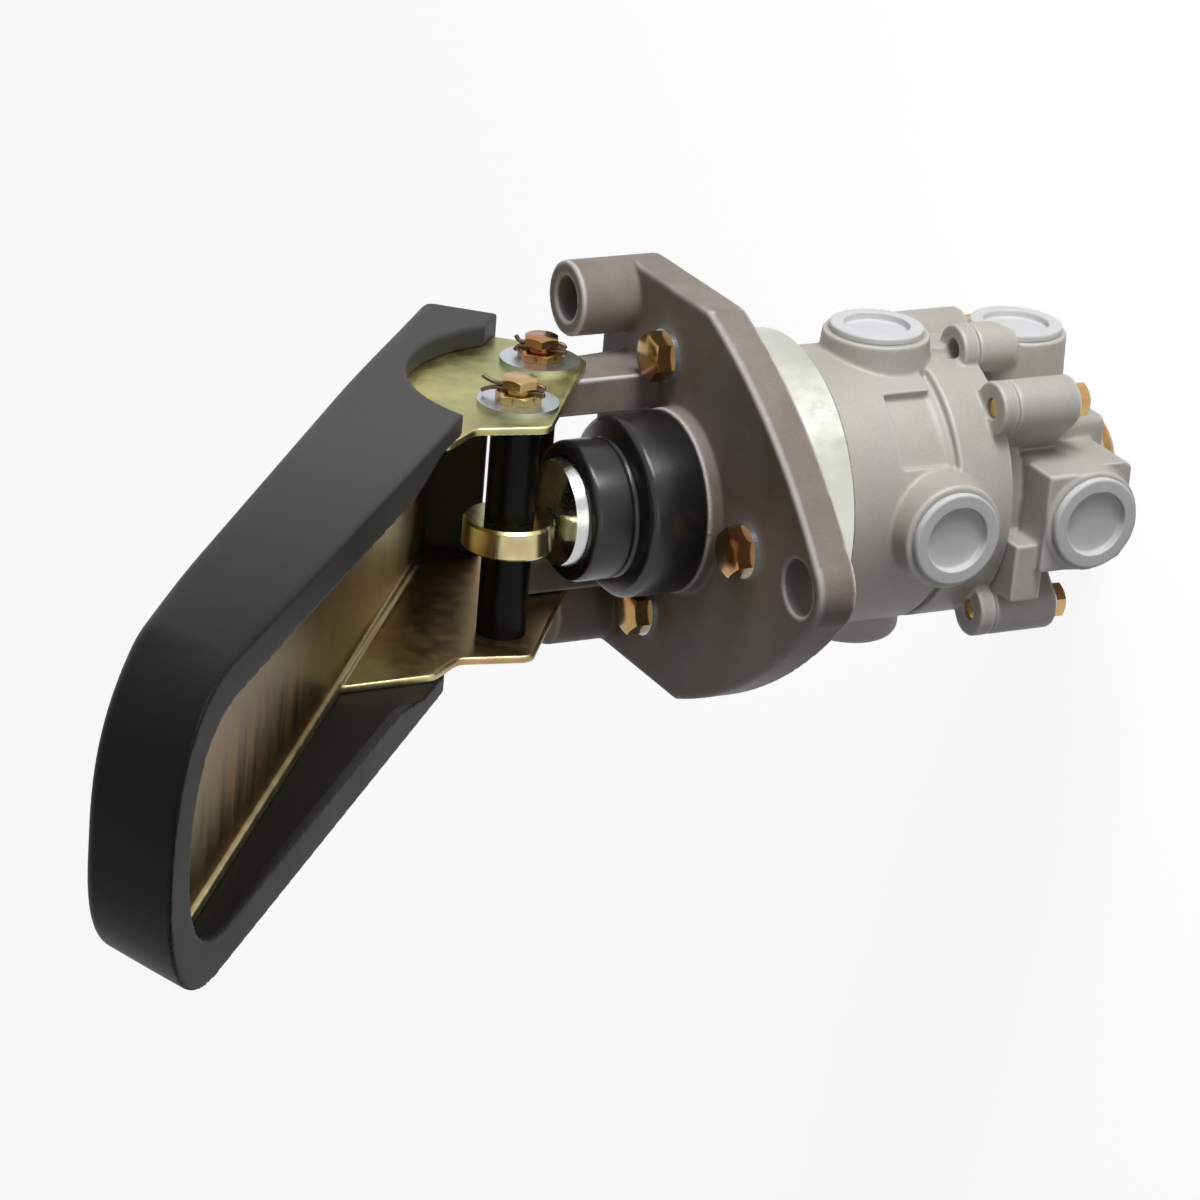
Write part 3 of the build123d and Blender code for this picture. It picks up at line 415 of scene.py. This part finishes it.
NODE_LOOKS = {
    cast_body: ["main_piston", "relay_piston", "upper_valve_guide", "lower_valve_guide"],
    ring_zinc: ["clamp_ring"],
    washer_zinc: ["pivot_pin_washer", "roller_pin_washer", "bolt_washers", "screw_washers"],
    turned_steel: ["plunger", "guide_clip"],
    bearing: ["pivot_bushes", "roller_bush", "plunger_guide"],
    roller_zinc: ["roller"],
    inner_rubber: ["body_seal", "main_piston_seal", "relay_piston_seal", "exhaust_flap",
                   "upper_valve", "lower_valve"],
    sleeve_plastic: ["spacer_sleeves"],
}


def dress_nodes():
    """Gives the CAD nodes that stay their materials."""
    for material, names in NODE_LOOKS.items():
        for name in names:
            mesh = frame["nodes"][name].data
            if not mesh.materials:
                mesh.materials.append(material)
            for i in range(len(mesh.materials)):
                mesh.materials[i] = material


# Pieces made here

def add_piece(name, mesh, body, material, *nodes):
    """A piece that rides on a body and stands for CAD nodes."""
    mesh.materials.clear()
    mesh.materials.append(material)
    piece = bpy.data.objects.new(name, mesh)
    bpy.context.collection.objects.link(piece)
    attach(piece, body)
    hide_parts(*nodes)
    return piece


def softened(node, voxel, passes, share, extra=None):
    """A node's mesh, joined with an extra shape, with the soft edges of a casting."""
    source = frame["nodes"][node].data.copy()
    if extra:
        joined = bmesh.new()
        joined.from_mesh(source)
        joined.from_mesh(extra.mesh("extra"))
        joined.to_mesh(source)
        joined.free()
    work = bpy.data.objects.new("work", source)
    bpy.context.collection.objects.link(work)
    remesh = work.modifiers.new("remesh", "REMESH")
    remesh.mode = "VOXEL"
    remesh.voxel_size = voxel
    remesh.use_smooth_shade = True
    smooth = work.modifiers.new("smooth", "SMOOTH")
    smooth.factor = 0.5
    smooth.iterations = passes
    thin = work.modifiers.new("thin", "DECIMATE")
    thin.ratio = share
    graph = bpy.context.evaluated_depsgraph_get()
    mesh = bpy.data.meshes.new_from_object(work.evaluated_get(graph))
    bpy.data.objects.remove(work)
    for face in mesh.polygons:
        face.use_smooth = True
    return mesh


def rounded(corners, steps=5):
    """A closed outline from (x, y, corner radius) points, with arcs at its corners."""
    points = []
    count = len(corners)
    for i, (x, y, radius) in enumerate(corners):
        here = Vector((x, y))
        before = Vector(corners[i - 1][:2]) - here
        after = Vector(corners[(i + 1) % count][:2]) - here
        if radius <= 0:
            points.append(here)
            continue
        before.normalize()
        after.normalize()
        half = before.angle(after) / 2
        run = radius / math.tan(half)
        middle = here + (before + after).normalized() * (radius / math.sin(half))
        first = here + before * run - middle
        last = here + after * run - middle
        sweep = first.angle_signed(last)
        for k in range(steps + 1):
            turned = first.copy()
            turned.rotate(Matrix.Rotation(-sweep * k / steps, 2))
            points.append(middle + turned)
    return points


def frame_of(axis):
    """Two directions square to an axis."""
    axis = Vector(axis).normalized()
    side = Vector((1, 0, 0)) if abs(axis.x) < 0.9 else Vector((0, 1, 0))
    first = (side - axis * side.dot(axis)).normalized()
    return axis, first, axis.cross(first)


class Shape:
    """Collects vertices and faces in millimetres, and makes them into a mesh."""

    def __init__(self):
        self.points = []
        self.faces = []

    def turned(self, outline, origin, axis, around=96):
        """Turns a closed outline of (radius, height) about an axis."""
        axis, first, second = frame_of(axis)
        origin = Vector(origin)
        start = len(self.points)
        rows = len(outline)
        for k in range(around):
            angle = math.tau * k / around
            out = first * math.cos(angle) + second * math.sin(angle)
            for radius, height in outline:
                self.points.append(origin + out * radius + axis * height)
        for k in range(around):
            for i in range(rows):
                j = (i + 1) % rows
                if outline[i][0] < 1e-6 and outline[j][0] < 1e-6:
                    continue
                m = (k + 1) % around
                self.faces.append([start + k * rows + i, start + k * rows + j,
                                   start + m * rows + j, start + m * rows + i])

    def hexed(self, across, low, high, origin, axis, turn=0.0, bevel=0.95, around=48):
        """A hexagon head whose upper corners are cut by a cone."""
        axis, first, second = frame_of(axis)
        origin = Vector(origin)
        start = len(self.points)
        flat = across / 2
        top_radius = flat * bevel
        for k in range(around):
            angle = math.tau * k / around
            wedge = (math.degrees(angle) + 30.0) % 60.0 - 30.0
            reach = flat / math.cos(math.radians(wedge))
            fall = (reach - top_radius) * math.tan(math.radians(30.0))
            turn_angle = angle + math.radians(turn)
            out = first * math.cos(turn_angle) + second * math.sin(turn_angle)
            self.points += [origin + axis * low, origin + out * reach + axis * low,
                            origin + out * reach + axis * (high - fall),
                            origin + out * top_radius + axis * high, origin + axis * high]
        for k in range(around):
            m = (k + 1) % around
            for i in range(4):
                self.faces.append([start + 5 * k + i, start + 5 * k + i + 1,
                                   start + 5 * m + i + 1, start + 5 * m + i])

    def prism(self, outline, place):
        """A solid between two levels: place(x, y, end) gives a point, for end 0 or 1."""
        start = len(self.points)
        count = len(outline)
        for end in (0, 1):
            self.points += [place(x, y, end) for x, y in outline]
        self.faces.append([start + i for i in range(count)])
        self.faces.append([start + count + i for i in range(count)][::-1])
        for i in range(count):
            j = (i + 1) % count
            self.faces.append([start + j, start + i, start + count + i, start + count + j])

    def wired(self, path, radius, around=12):
        """Round wire along a path of points."""
        start = len(self.points)
        path = [Vector(p) for p in path]
        normal = None
        for i, point in enumerate(path):
            ahead = (path[min(i + 1, len(path) - 1)] - path[max(i - 1, 0)]).normalized()
            if normal is None:
                normal = frame_of(ahead)[1]
            normal = (normal - ahead * normal.dot(ahead)).normalized()
            across = ahead.cross(normal)
            for k in range(around):
                angle = math.tau * k / around
                self.points.append(point + normal * math.cos(angle) * radius
                                   + across * math.sin(angle) * radius)
        for i in range(len(path) - 1):
            for k in range(around):
                m = (k + 1) % around
                a = start + i * around
                b = a + around
                self.faces.append([a + k, a + m, b + m, b + k])
        self.faces.append([start + k for k in range(around)][::-1])
        end = start + (len(path) - 1) * around
        self.faces.append([end + k for k in range(around)])

    def mesh(self, name, sharp=35.0):
        """The collected shape in metres, smooth but for edges sharper than some degrees."""
        mesh = bpy.data.meshes.new(name)
        mesh.from_pydata([p * MM for p in self.points], [], self.faces)
        work = bmesh.new()
        work.from_mesh(mesh)
        bmesh.ops.remove_doubles(work, verts=work.verts, dist=1e-7)
        bmesh.ops.dissolve_degenerate(work, edges=work.edges, dist=1e-7)
        bmesh.ops.recalc_face_normals(work, faces=work.faces)
        for face in work.faces:
            face.smooth = True
        for edge in work.edges:
            if len(edge.link_faces) == 2 and edge.calc_face_angle() > math.radians(sharp):
                edge.smooth = False
        work.to_mesh(mesh)
        work.free()
        return mesh


def disc(radius, low, high, edge):
    """A solid disc's outline, with rounded rims."""
    return rounded([(0, low, 0), (radius, low, edge), (radius, high, edge), (0, high, 0)], 3)


def pedal_point(s, y, n):
    """A point in millimetres from the pedal's own directions."""
    return Vector((PIVOT[0], y, PIVOT[1])) + PEDAL_ALONG * s + PEDAL_UPWARD * n


def toe_curve(half, start, end_s, steps=24):
    """One side of the pedal to the other, round the toe, as (s, y)."""
    points = [(start, half)]
    for k in range(steps + 1):
        angle = math.pi * (0.5 - k / steps)
        points.append((end_s - half + half * math.cos(angle), half * math.sin(angle)))
    points.append((start, -half))
    return points


def tub_lips():
    """The rim's inner lip, which narrows the tub's mouth towards the toe."""
    shape = Shape()
    outline = toe_curve(LIP_OUTER, LIP_START, TOE_S - 3.0)
    inner = toe_curve(LIP_INNER, LIP_FULL, TOE_S - 14.0)
    inner = [(LIP_START, LIP_ROOT)] + inner + [(LIP_START, -LIP_ROOT)]
    shape.prism(outline + inner[::-1],
                lambda s, y, end: pedal_point(s, y, RIM_N + LIP_THICK * end))
    return shape


def treadle_bead():
    """The rounded bend along the treadle's edges, under its web."""
    shape = Shape()
    outline = toe_curve(BEAD_OUTER, 0.0, TOE_S - 6.2)
    inner = toe_curve(BEAD_INNER, 0.0, TOE_S - 9.7)
    shape.prism(outline + inner[::-1],
                lambda s, y, end: pedal_point(s, y, WEB_N - WEB_FALL * s
                                              + (BEAD_ABOVE if end else -BEAD_BELOW)))
    return shape


def blunted(mesh):
    """Squares the round toe a little, as the real tub's toe is."""
    middle = TOE_S - TOE_RADIUS
    for vertex in mesh.vertices:
        place = vertex.co / MM - Vector((PIVOT[0], 0, PIVOT[1]))
        s = place.dot(PEDAL_ALONG) - middle
        y = place.y
        reach = math.hypot(s, y)
        if s <= 0 or reach < 1e-6:
            continue
        share = ((s / reach) ** TOE_POWER + (abs(y) / reach) ** TOE_POWER)
        grow = share ** (-1 / TOE_POWER) - 1
        vertex.co += (PEDAL_ALONG * s + Vector((0, y, 0))) * (grow * MM)
    return mesh


def eased(value, low, high):
    """0 below low, 1 above high, and a smooth rise between."""
    share = min(max((value - low) / (high - low), 0.0), 1.0)
    return share * share * (3 - 2 * share)


def crowned(mesh):
    """Lifts the tub's foot face a little between its heel and its toe."""
    for vertex in mesh.vertices:
        place = vertex.co / MM - Vector((PIVOT[0], 0, PIVOT[1]))
        s = place.dot(PEDAL_ALONG)
        n = place.dot(PEDAL_UPWARD)
        lift = CROWN * eased(s, *CROWN_RISE) * (1 - eased(s, *CROWN_FADE))
        foot = FOOT_N - FOOT_FALL * s
        skin = eased(n, foot - CROWN_SKIN[0], foot - CROWN_SKIN[1])
        vertex.co += PEDAL_UPWARD * (lift * skin * MM)
    return mesh


# Webs behind the screw lugs: from and to which radius, half width, top and bottom
LUG_WEB_INNER = 30.0
LUG_WEB_OUTER = 45.2
LUG_WEB_HALF = 7.9
LUG_WEB_TOP = -78.4
LUG_WEB_BOTTOM = -98.6

# Shoulders on the lower front port's block: the port's level and radius, and the block's
# half width, top, back and front
PORT_LEVEL = -101.1
PORT_RADIUS = 14.7
BLOCK_HALF = 15.3
BLOCK_TOP = -85.2
BLOCK_BACK = 36.0
BLOCK_FRONT = 48.9


def lower_extras():
    """Webs behind the lower body's screw lugs, and square shoulders on its port block."""
    shape = Shape()
    web = [(LUG_WEB_INNER, -LUG_WEB_HALF), (LUG_WEB_OUTER, -LUG_WEB_HALF),
           (LUG_WEB_OUTER, LUG_WEB_HALF), (LUG_WEB_INNER, LUG_WEB_HALF)]
    for hand_x in (1, -1):
        for hand_y in (1, -1):
            out = Vector((hand_x, hand_y, 0)).normalized()
            side = Vector((-out.y, out.x, 0))
            shape.prism(web, lambda r, w, end, out=out, side=side:
                        out * r + side * w
                        + Vector((0, 0, LUG_WEB_BOTTOM if end else LUG_WEB_TOP)))
    arc = [(PORT_RADIUS * math.sin(math.radians(a)),
            PORT_LEVEL + PORT_RADIUS * math.cos(math.radians(a))) for a in range(90, -1, -6)]
    shoulder = [(BLOCK_HALF, PORT_LEVEL)] + arc + [(0.0, BLOCK_TOP), (BLOCK_HALF, BLOCK_TOP)]
    for hand in (1, -1):
        shape.prism(shoulder, lambda y, z, end, hand=hand:
                    Vector((BLOCK_FRONT if end else BLOCK_BACK, hand * y, z)))
    return shape


def add_castings():
    """The cast, pressed and moulded nodes, with soft edges.

    Each row: piece, node, material, voxel size, smoothing passes, share of faces kept and
    the function that makes the extra shape, if any.
    """
    for name, node, material, voxel, passes, share, extra in (
            ("upper_casting", "upper_body", cast_body, 0.55, 7, 0.35, None),
            ("lower_casting", "lower_body", cast_body, 0.55, 7, 0.35, lower_extras),
            ("plate_casting", "mounting_plate", cast_plate, 0.55, 7, 0.35, None),
            ("tub_moulding", "pedal_rubber", pad_rubber, 0.7, 5, 0.4, tub_lips),
            ("treadle_pressing", "treadle", treadle_zinc, 0.5, 5, 0.25, treadle_bead),
            ("cap_turning", "exhaust_cap", bolt_zinc, 0.35, 3, 0.4, None)):
        mesh = softened(node, voxel * MM, passes, share, extra() if extra else None)
        if BODY_OF[node] == "pedal":
            blunted(mesh)
        if node == "pedal_rubber":
            crowned(mesh)
        add_piece(name, mesh, BODY_OF[node], material, node)
    for name in ("upper_front", "upper_side", "lower_front", "lower_side"):
        node = name + "_plug"
        mesh = softened(node, voxel=0.3 * MM, passes=3, share=0.4)
        add_piece(name + "_cap", mesh, BODY_OF[node], plug_plastic, node)


def add_boot():
    """The boot: a foot, a groove and a neck round the plunger's head, as (radius, z, corner)."""
    low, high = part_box("boot")
    foot = high[0] / MM
    bottom = low[2] / MM
    top = high[2] / MM
    neck = 20.8
    bore = 16.45
    inner_neck = 18.0
    inner_foot = 24.2
    bead = 20.3
    bead_top = 22.3
    outline = rounded([
        (bead, bottom, 0.3), (foot, bottom, 1.0), (foot, 34.2, 2.6), (neck - 0.4, 35.4, 0.8),
        (neck - 0.8, 36.6, 0.6), (neck, 37.8, 0.8), (neck, top, 2.4), (bore, top, 0.5),
        (bore, 45.6, 0.3), (inner_neck, 43.4, 0.5), (inner_neck, 32.4, 1.0),
        (inner_foot, 32.0, 1.0), (inner_foot, bead_top, 0.5), (bead, bead_top, 0.3)])
    shape = Shape()
    shape.turned(outline, (0, 0, 0), (0, 0, 1), around=128)
    piece = add_piece("boot_moulding", shape.mesh("boot_moulding"), BODY_OF["boot"],
                      boot_rubber, "boot")
    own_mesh(piece)


# Each spring: its node, the joint that presses it, and how far it is pressed
SPRINGS = (("main_piston_spring", "main_piston_slide", 2.6),
           ("relay_piston_spring", "relay_piston_slide", 2.6),
           ("upper_valve_spring", "upper_valve_slide", 1.77),
           ("lower_valve_spring", "lower_valve_slide", 1.77),
           ("graduating_spring", "plunger_slide", 6.76))


def add_springs():
    """The springs, as pieces made from copies of their nodes' meshes."""
    for node, joint, pressed in SPRINGS:
        mesh = frame["nodes"][node].data.copy()
        look = inner_rubber if node == "graduating_spring" else turned_steel
        piece = add_piece(node + "_coil", mesh, BODY_OF[node], look, node)
        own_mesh(piece)


# Bolts of the plate and screws between the bodies: circle, places round it, across flats
# and height of the head, and radius of the shank
PLATE_BOLT_CIRCLE = 42.4
PLATE_BOLT_ANGLES = (0.0, 109.0, -109.0)
PLATE_BOLT_HEAD = (13.0, 5.3)
PLATE_BOLT_SHANK = 4.0
SCREW_CIRCLE = 45.25
SCREW_ANGLES = (45.0, 135.0, -135.0, -45.0)
SCREW_HEAD = (10.0, 4.0)
SCREW_SHANK = 3.0


def ring_places(radius, angles):
    """Points (x, y) on a circle, at angles in degrees."""
    return [(radius * math.cos(math.radians(a)), radius * math.sin(math.radians(a)))
            for a in angles]


def add_fasteners():
    """The plate's bolts and the screws that join the bodies, with chamfered heads."""
    low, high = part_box("plate_bolts")
    top = high[2] / MM
    flats, head = PLATE_BOLT_HEAD
    shape = Shape()
    for x, y in ring_places(PLATE_BOLT_CIRCLE, PLATE_BOLT_ANGLES):
        shape.hexed(flats, top - head, top, (x, y, 0), (0, 0, 1), turn=12.0)
        shape.turned(disc(PLATE_BOLT_SHANK, low[2] / MM, top - 5.0, edge=0.5),
                     (x, y, 0), (0, 0, 1), around=32)
    add_piece("plate_bolt_set", shape.mesh("plate_bolt_set"), BODY_OF["plate_bolts"],
              bolt_zinc, "plate_bolts")
    low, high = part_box("joining_screws")
    bottom = low[2] / MM
    flats, head = SCREW_HEAD
    shape = Shape()
    for x, y in ring_places(SCREW_CIRCLE, SCREW_ANGLES):
        shape.hexed(flats, 0.0, head, (x, y, bottom + head), (0, 0, -1), turn=8.0)
        shape.turned(disc(SCREW_SHANK, bottom + 3.9, high[2] / MM, edge=0.4),
                     (x, y, 0), (0, 0, 1), around=24)
    add_piece("joining_screw_set", shape.mesh("joining_screw_set"),
              BODY_OF["joining_screws"], pale_gold, "joining_screws")


# Clevis pins: radius of the head, the shank and the core, and hexagons at the far end
PIN_HEAD = 9.0
PIN_SHANK = 5.98
PIN_CORE = 3.4
PIN_COLLAR_FLATS = 11.9
PIN_END_FLATS = 9.6


def add_pin(name, centre, material):
    """A clevis pin: a flat head at one end, and a collar and a hexagon at the other."""
    low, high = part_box(name + "_pin")
    far = low[1] / MM
    end = high[1] / MM
    seat = WASHER_TOP
    x, z = centre
    shape = Shape()
    across = (0, 1, 0)
    origin = (x, 0, z)
    shape.turned(disc(PIN_HEAD, far, far + 3.0, edge=0.6), origin, across, around=48)
    shape.turned(disc(PIN_SHANK, far + 2.5, seat + 2.5, edge=0.3), origin, across, around=48)
    shape.hexed(PIN_COLLAR_FLATS, seat + 0.05, seat + 2.6, origin, across, turn=20.0)
    shape.turned(disc(PIN_CORE, seat + 2.0, end - 1.0, edge=0.2), origin, across, around=32)
    shape.hexed(PIN_END_FLATS, end - 2.6, end, origin, across, turn=5.0)
    add_piece(name + "_clevis_pin", shape.mesh(name + "_clevis_pin"),
              BODY_OF[name + "_pin"], material, name + "_pin")


# Split pins: how far the eye reaches, its length and half width, the wire's radius, half
# the distance between the two legs inside the pin, and how far the legs run before they spread
EYE_REACH = 7.4
EYE_LENGTH = 2.0
EYE_HALF = 1.1
WIRE = 0.65
LEG_HALF = 0.66
LEG_STRAIGHT = 6.0
LEG_SPREAD = 0.045


def add_split_pin(name, centre, leg):
    """Bent wire: an eye on one side, and two legs that spread on the other."""
    low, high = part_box(name + "_split_pin")
    level = (low[1] + high[1]) / 2 / MM
    x, z = centre
    middle = Vector((x, level, z))
    out = PEDAL_UPWARD
    side = Vector((0, 1, 0))
    shape = Shape()
    for hand in (1, -1):
        path = []
        for k in range(15):
            angle = math.radians(12.0 * k)
            path.append(middle - out * (EYE_REACH - EYE_LENGTH + EYE_LENGTH * math.cos(angle))
                        + side * (hand * (LEG_HALF + EYE_HALF * math.sin(angle))))
        path = path[::-1]
        path += [middle + out * LEG_STRAIGHT + side * hand * LEG_HALF]
        for k in range(1, 7):
            path.append(middle + out * (LEG_STRAIGHT + leg * k / 6)
                        + side * hand * (LEG_HALF + LEG_SPREAD * k * k))
        shape.wired(path, WIRE)
    add_piece(name + "_cotter", shape.mesh(name + "_cotter", 60.0),
              BODY_OF[name + "_split_pin"], dark_wire, name + "_split_pin")


# Stage: floor, lamps and world, in metres

FLOOR_Z = cad_box[0][2] - 0.0005
FLOOR_HALF = 4.0
FLOOR_GLOW = 0.87
FLOOR_TONE = (0.54, 0.56)
OBJECT_MIDDLE = Vector((0.03, 0.0, 0.04))

# The side that the soft light comes from, and how bright the surroundings are, from the
# opposite side (0) to that side (1)
LIGHT_FROM = Vector((0.2, 0.90, -0.40)).normalized()
SKY = ((0.0, 0.03), (0.5, 0.045), (0.74, 0.28), (1.0, 0.85))


def seen_share(tree):
    """1 for camera, glossy and transmission rays, else 0."""
    path = tree.nodes.new("ShaderNodeLightPath")
    last = path.outputs["Is Camera Ray"]
    for other in ("Is Glossy Ray", "Is Transmission Ray"):
        larger = tree.nodes.new("ShaderNodeMath")
        larger.operation = "MAXIMUM"
        tree.links.new(last, larger.inputs[0])
        tree.links.new(path.outputs[other], larger.inputs[1])
        last = larger.outputs[0]
    return last


def add_floor():
    """A pale paper floor, which also looks bright where it is seen or reflected."""
    mesh = bpy.data.meshes.new("floor")
    h = FLOOR_HALF
    mesh.from_pydata([(-h, -h, FLOOR_Z), (h, -h, FLOOR_Z), (h, h, FLOOR_Z), (-h, h, FLOOR_Z)],
                     [], [(0, 1, 2, 3)])
    floor = bpy.data.objects.new("floor", mesh)
    bpy.context.collection.objects.link(floor)
    g = Graph("floor_paper")
    tree = g.tree
    g.set("Roughness", 0.9)
    g.set("Specular IOR Level", 0.0)
    tone = g.noise(3.0, 2.0, 0.5)
    g.link(g.levels(tone, *FLOOR_TONE), g.shader.inputs["Base Color"])
    glow = tree.nodes.new("ShaderNodeEmission")
    glow.inputs["Strength"].default_value = FLOOR_GLOW
    both = tree.nodes.new("ShaderNodeAddShader")
    choose = tree.nodes.new("ShaderNodeMixShader")
    output = tree.nodes["Material Output"]
    tree.links.new(g.shader.outputs[0], both.inputs[0])
    tree.links.new(glow.outputs[0], both.inputs[1])
    tree.links.new(seen_share(tree), choose.inputs[0])
    tree.links.new(g.shader.outputs[0], choose.inputs[1])
    tree.links.new(both.outputs[0], choose.inputs[2])
    tree.links.new(choose.outputs[0], output.inputs["Surface"])
    mesh.materials.append(g.material)


def add_lamp(name, direction, distance, size, watts):
    """A round soft lamp that points at the object's middle and isn't seen itself."""
    data = bpy.data.lights.new(name, "AREA")
    data.shape = "DISK"
    data.size = size
    data.energy = watts
    lamp = bpy.data.objects.new(name, data)
    place = OBJECT_MIDDLE + Vector(direction).normalized() * distance
    aim = (OBJECT_MIDDLE - place).to_track_quat("-Z", "Y")
    lamp.matrix_world = Matrix.Translation(place) @ aim.to_matrix().to_4x4()
    lamp.visible_camera = False
    bpy.context.collection.objects.link(lamp)


def add_world():
    """Soft light, stronger from one side, and plain white where the world is seen."""
    world = bpy.data.worlds.new("studio")
    bpy.context.scene.world = world
    world.use_nodes = True
    tree = world.node_tree
    lighting = tree.nodes["Background"]
    view = tree.nodes.new("ShaderNodeTexCoord")
    facing = tree.nodes.new("ShaderNodeVectorMath")
    facing.operation = "DOT_PRODUCT"
    facing.inputs[1].default_value = tuple(LIGHT_FROM)
    tree.links.new(view.outputs["Generated"], facing.inputs[0])
    spread = tree.nodes.new("ShaderNodeMapRange")
    spread.inputs["From Min"].default_value = -1.0
    tree.links.new(facing.outputs["Value"], spread.inputs["Value"])
    sky = tree.nodes.new("ShaderNodeValToRGB")
    tree.links.new(spread.outputs["Result"], sky.inputs["Fac"])
    while len(sky.color_ramp.elements) < len(SKY):
        sky.color_ramp.elements.new(0.5)
    for element, (place, level) in zip(sky.color_ramp.elements, SKY):
        element.position = place
        element.color = (level, level, level, 1.0)
    tree.links.new(sky.outputs["Color"], lighting.inputs["Color"])
    lighting.inputs["Strength"].default_value = 1.0
    seen = tree.nodes.new("ShaderNodeBackground")
    seen.inputs["Color"].default_value = (1.0, 1.0, 1.0, 1.0)
    seen.inputs["Strength"].default_value = 1.0
    choose = tree.nodes.new("ShaderNodeMixShader")
    tree.links.new(seen_share(tree), choose.inputs[0])
    tree.links.new(lighting.outputs[0], choose.inputs[1])
    tree.links.new(seen.outputs[0], choose.inputs[2])
    tree.links.new(choose.outputs[0], tree.nodes["World Output"].inputs["Surface"])


bpy.context.scene.view_settings.view_transform = "Standard"
add_camera()
add_world()
add_floor()
add_lamp("key_lamp", (0.20, 0.97, 0.04), distance=1.5, size=0.5, watts=10.0)
add_lamp("side_lamp", (0.40, 0.90, -0.18), distance=0.6, size=0.2, watts=1.5)
add_lamp("fill_lamp", (0.95, 0.10, -0.03), distance=1.8, size=1.0, watts=2.5)
dress_nodes()
add_castings()
add_boot()
add_springs()
add_fasteners()
add_pin("pivot", PIVOT, bolt_zinc)
add_pin("roller", ROLLER, pale_gold)
add_split_pin("pivot", PIVOT, leg=1.8)
add_split_pin("roller", ROLLER, leg=5.0)
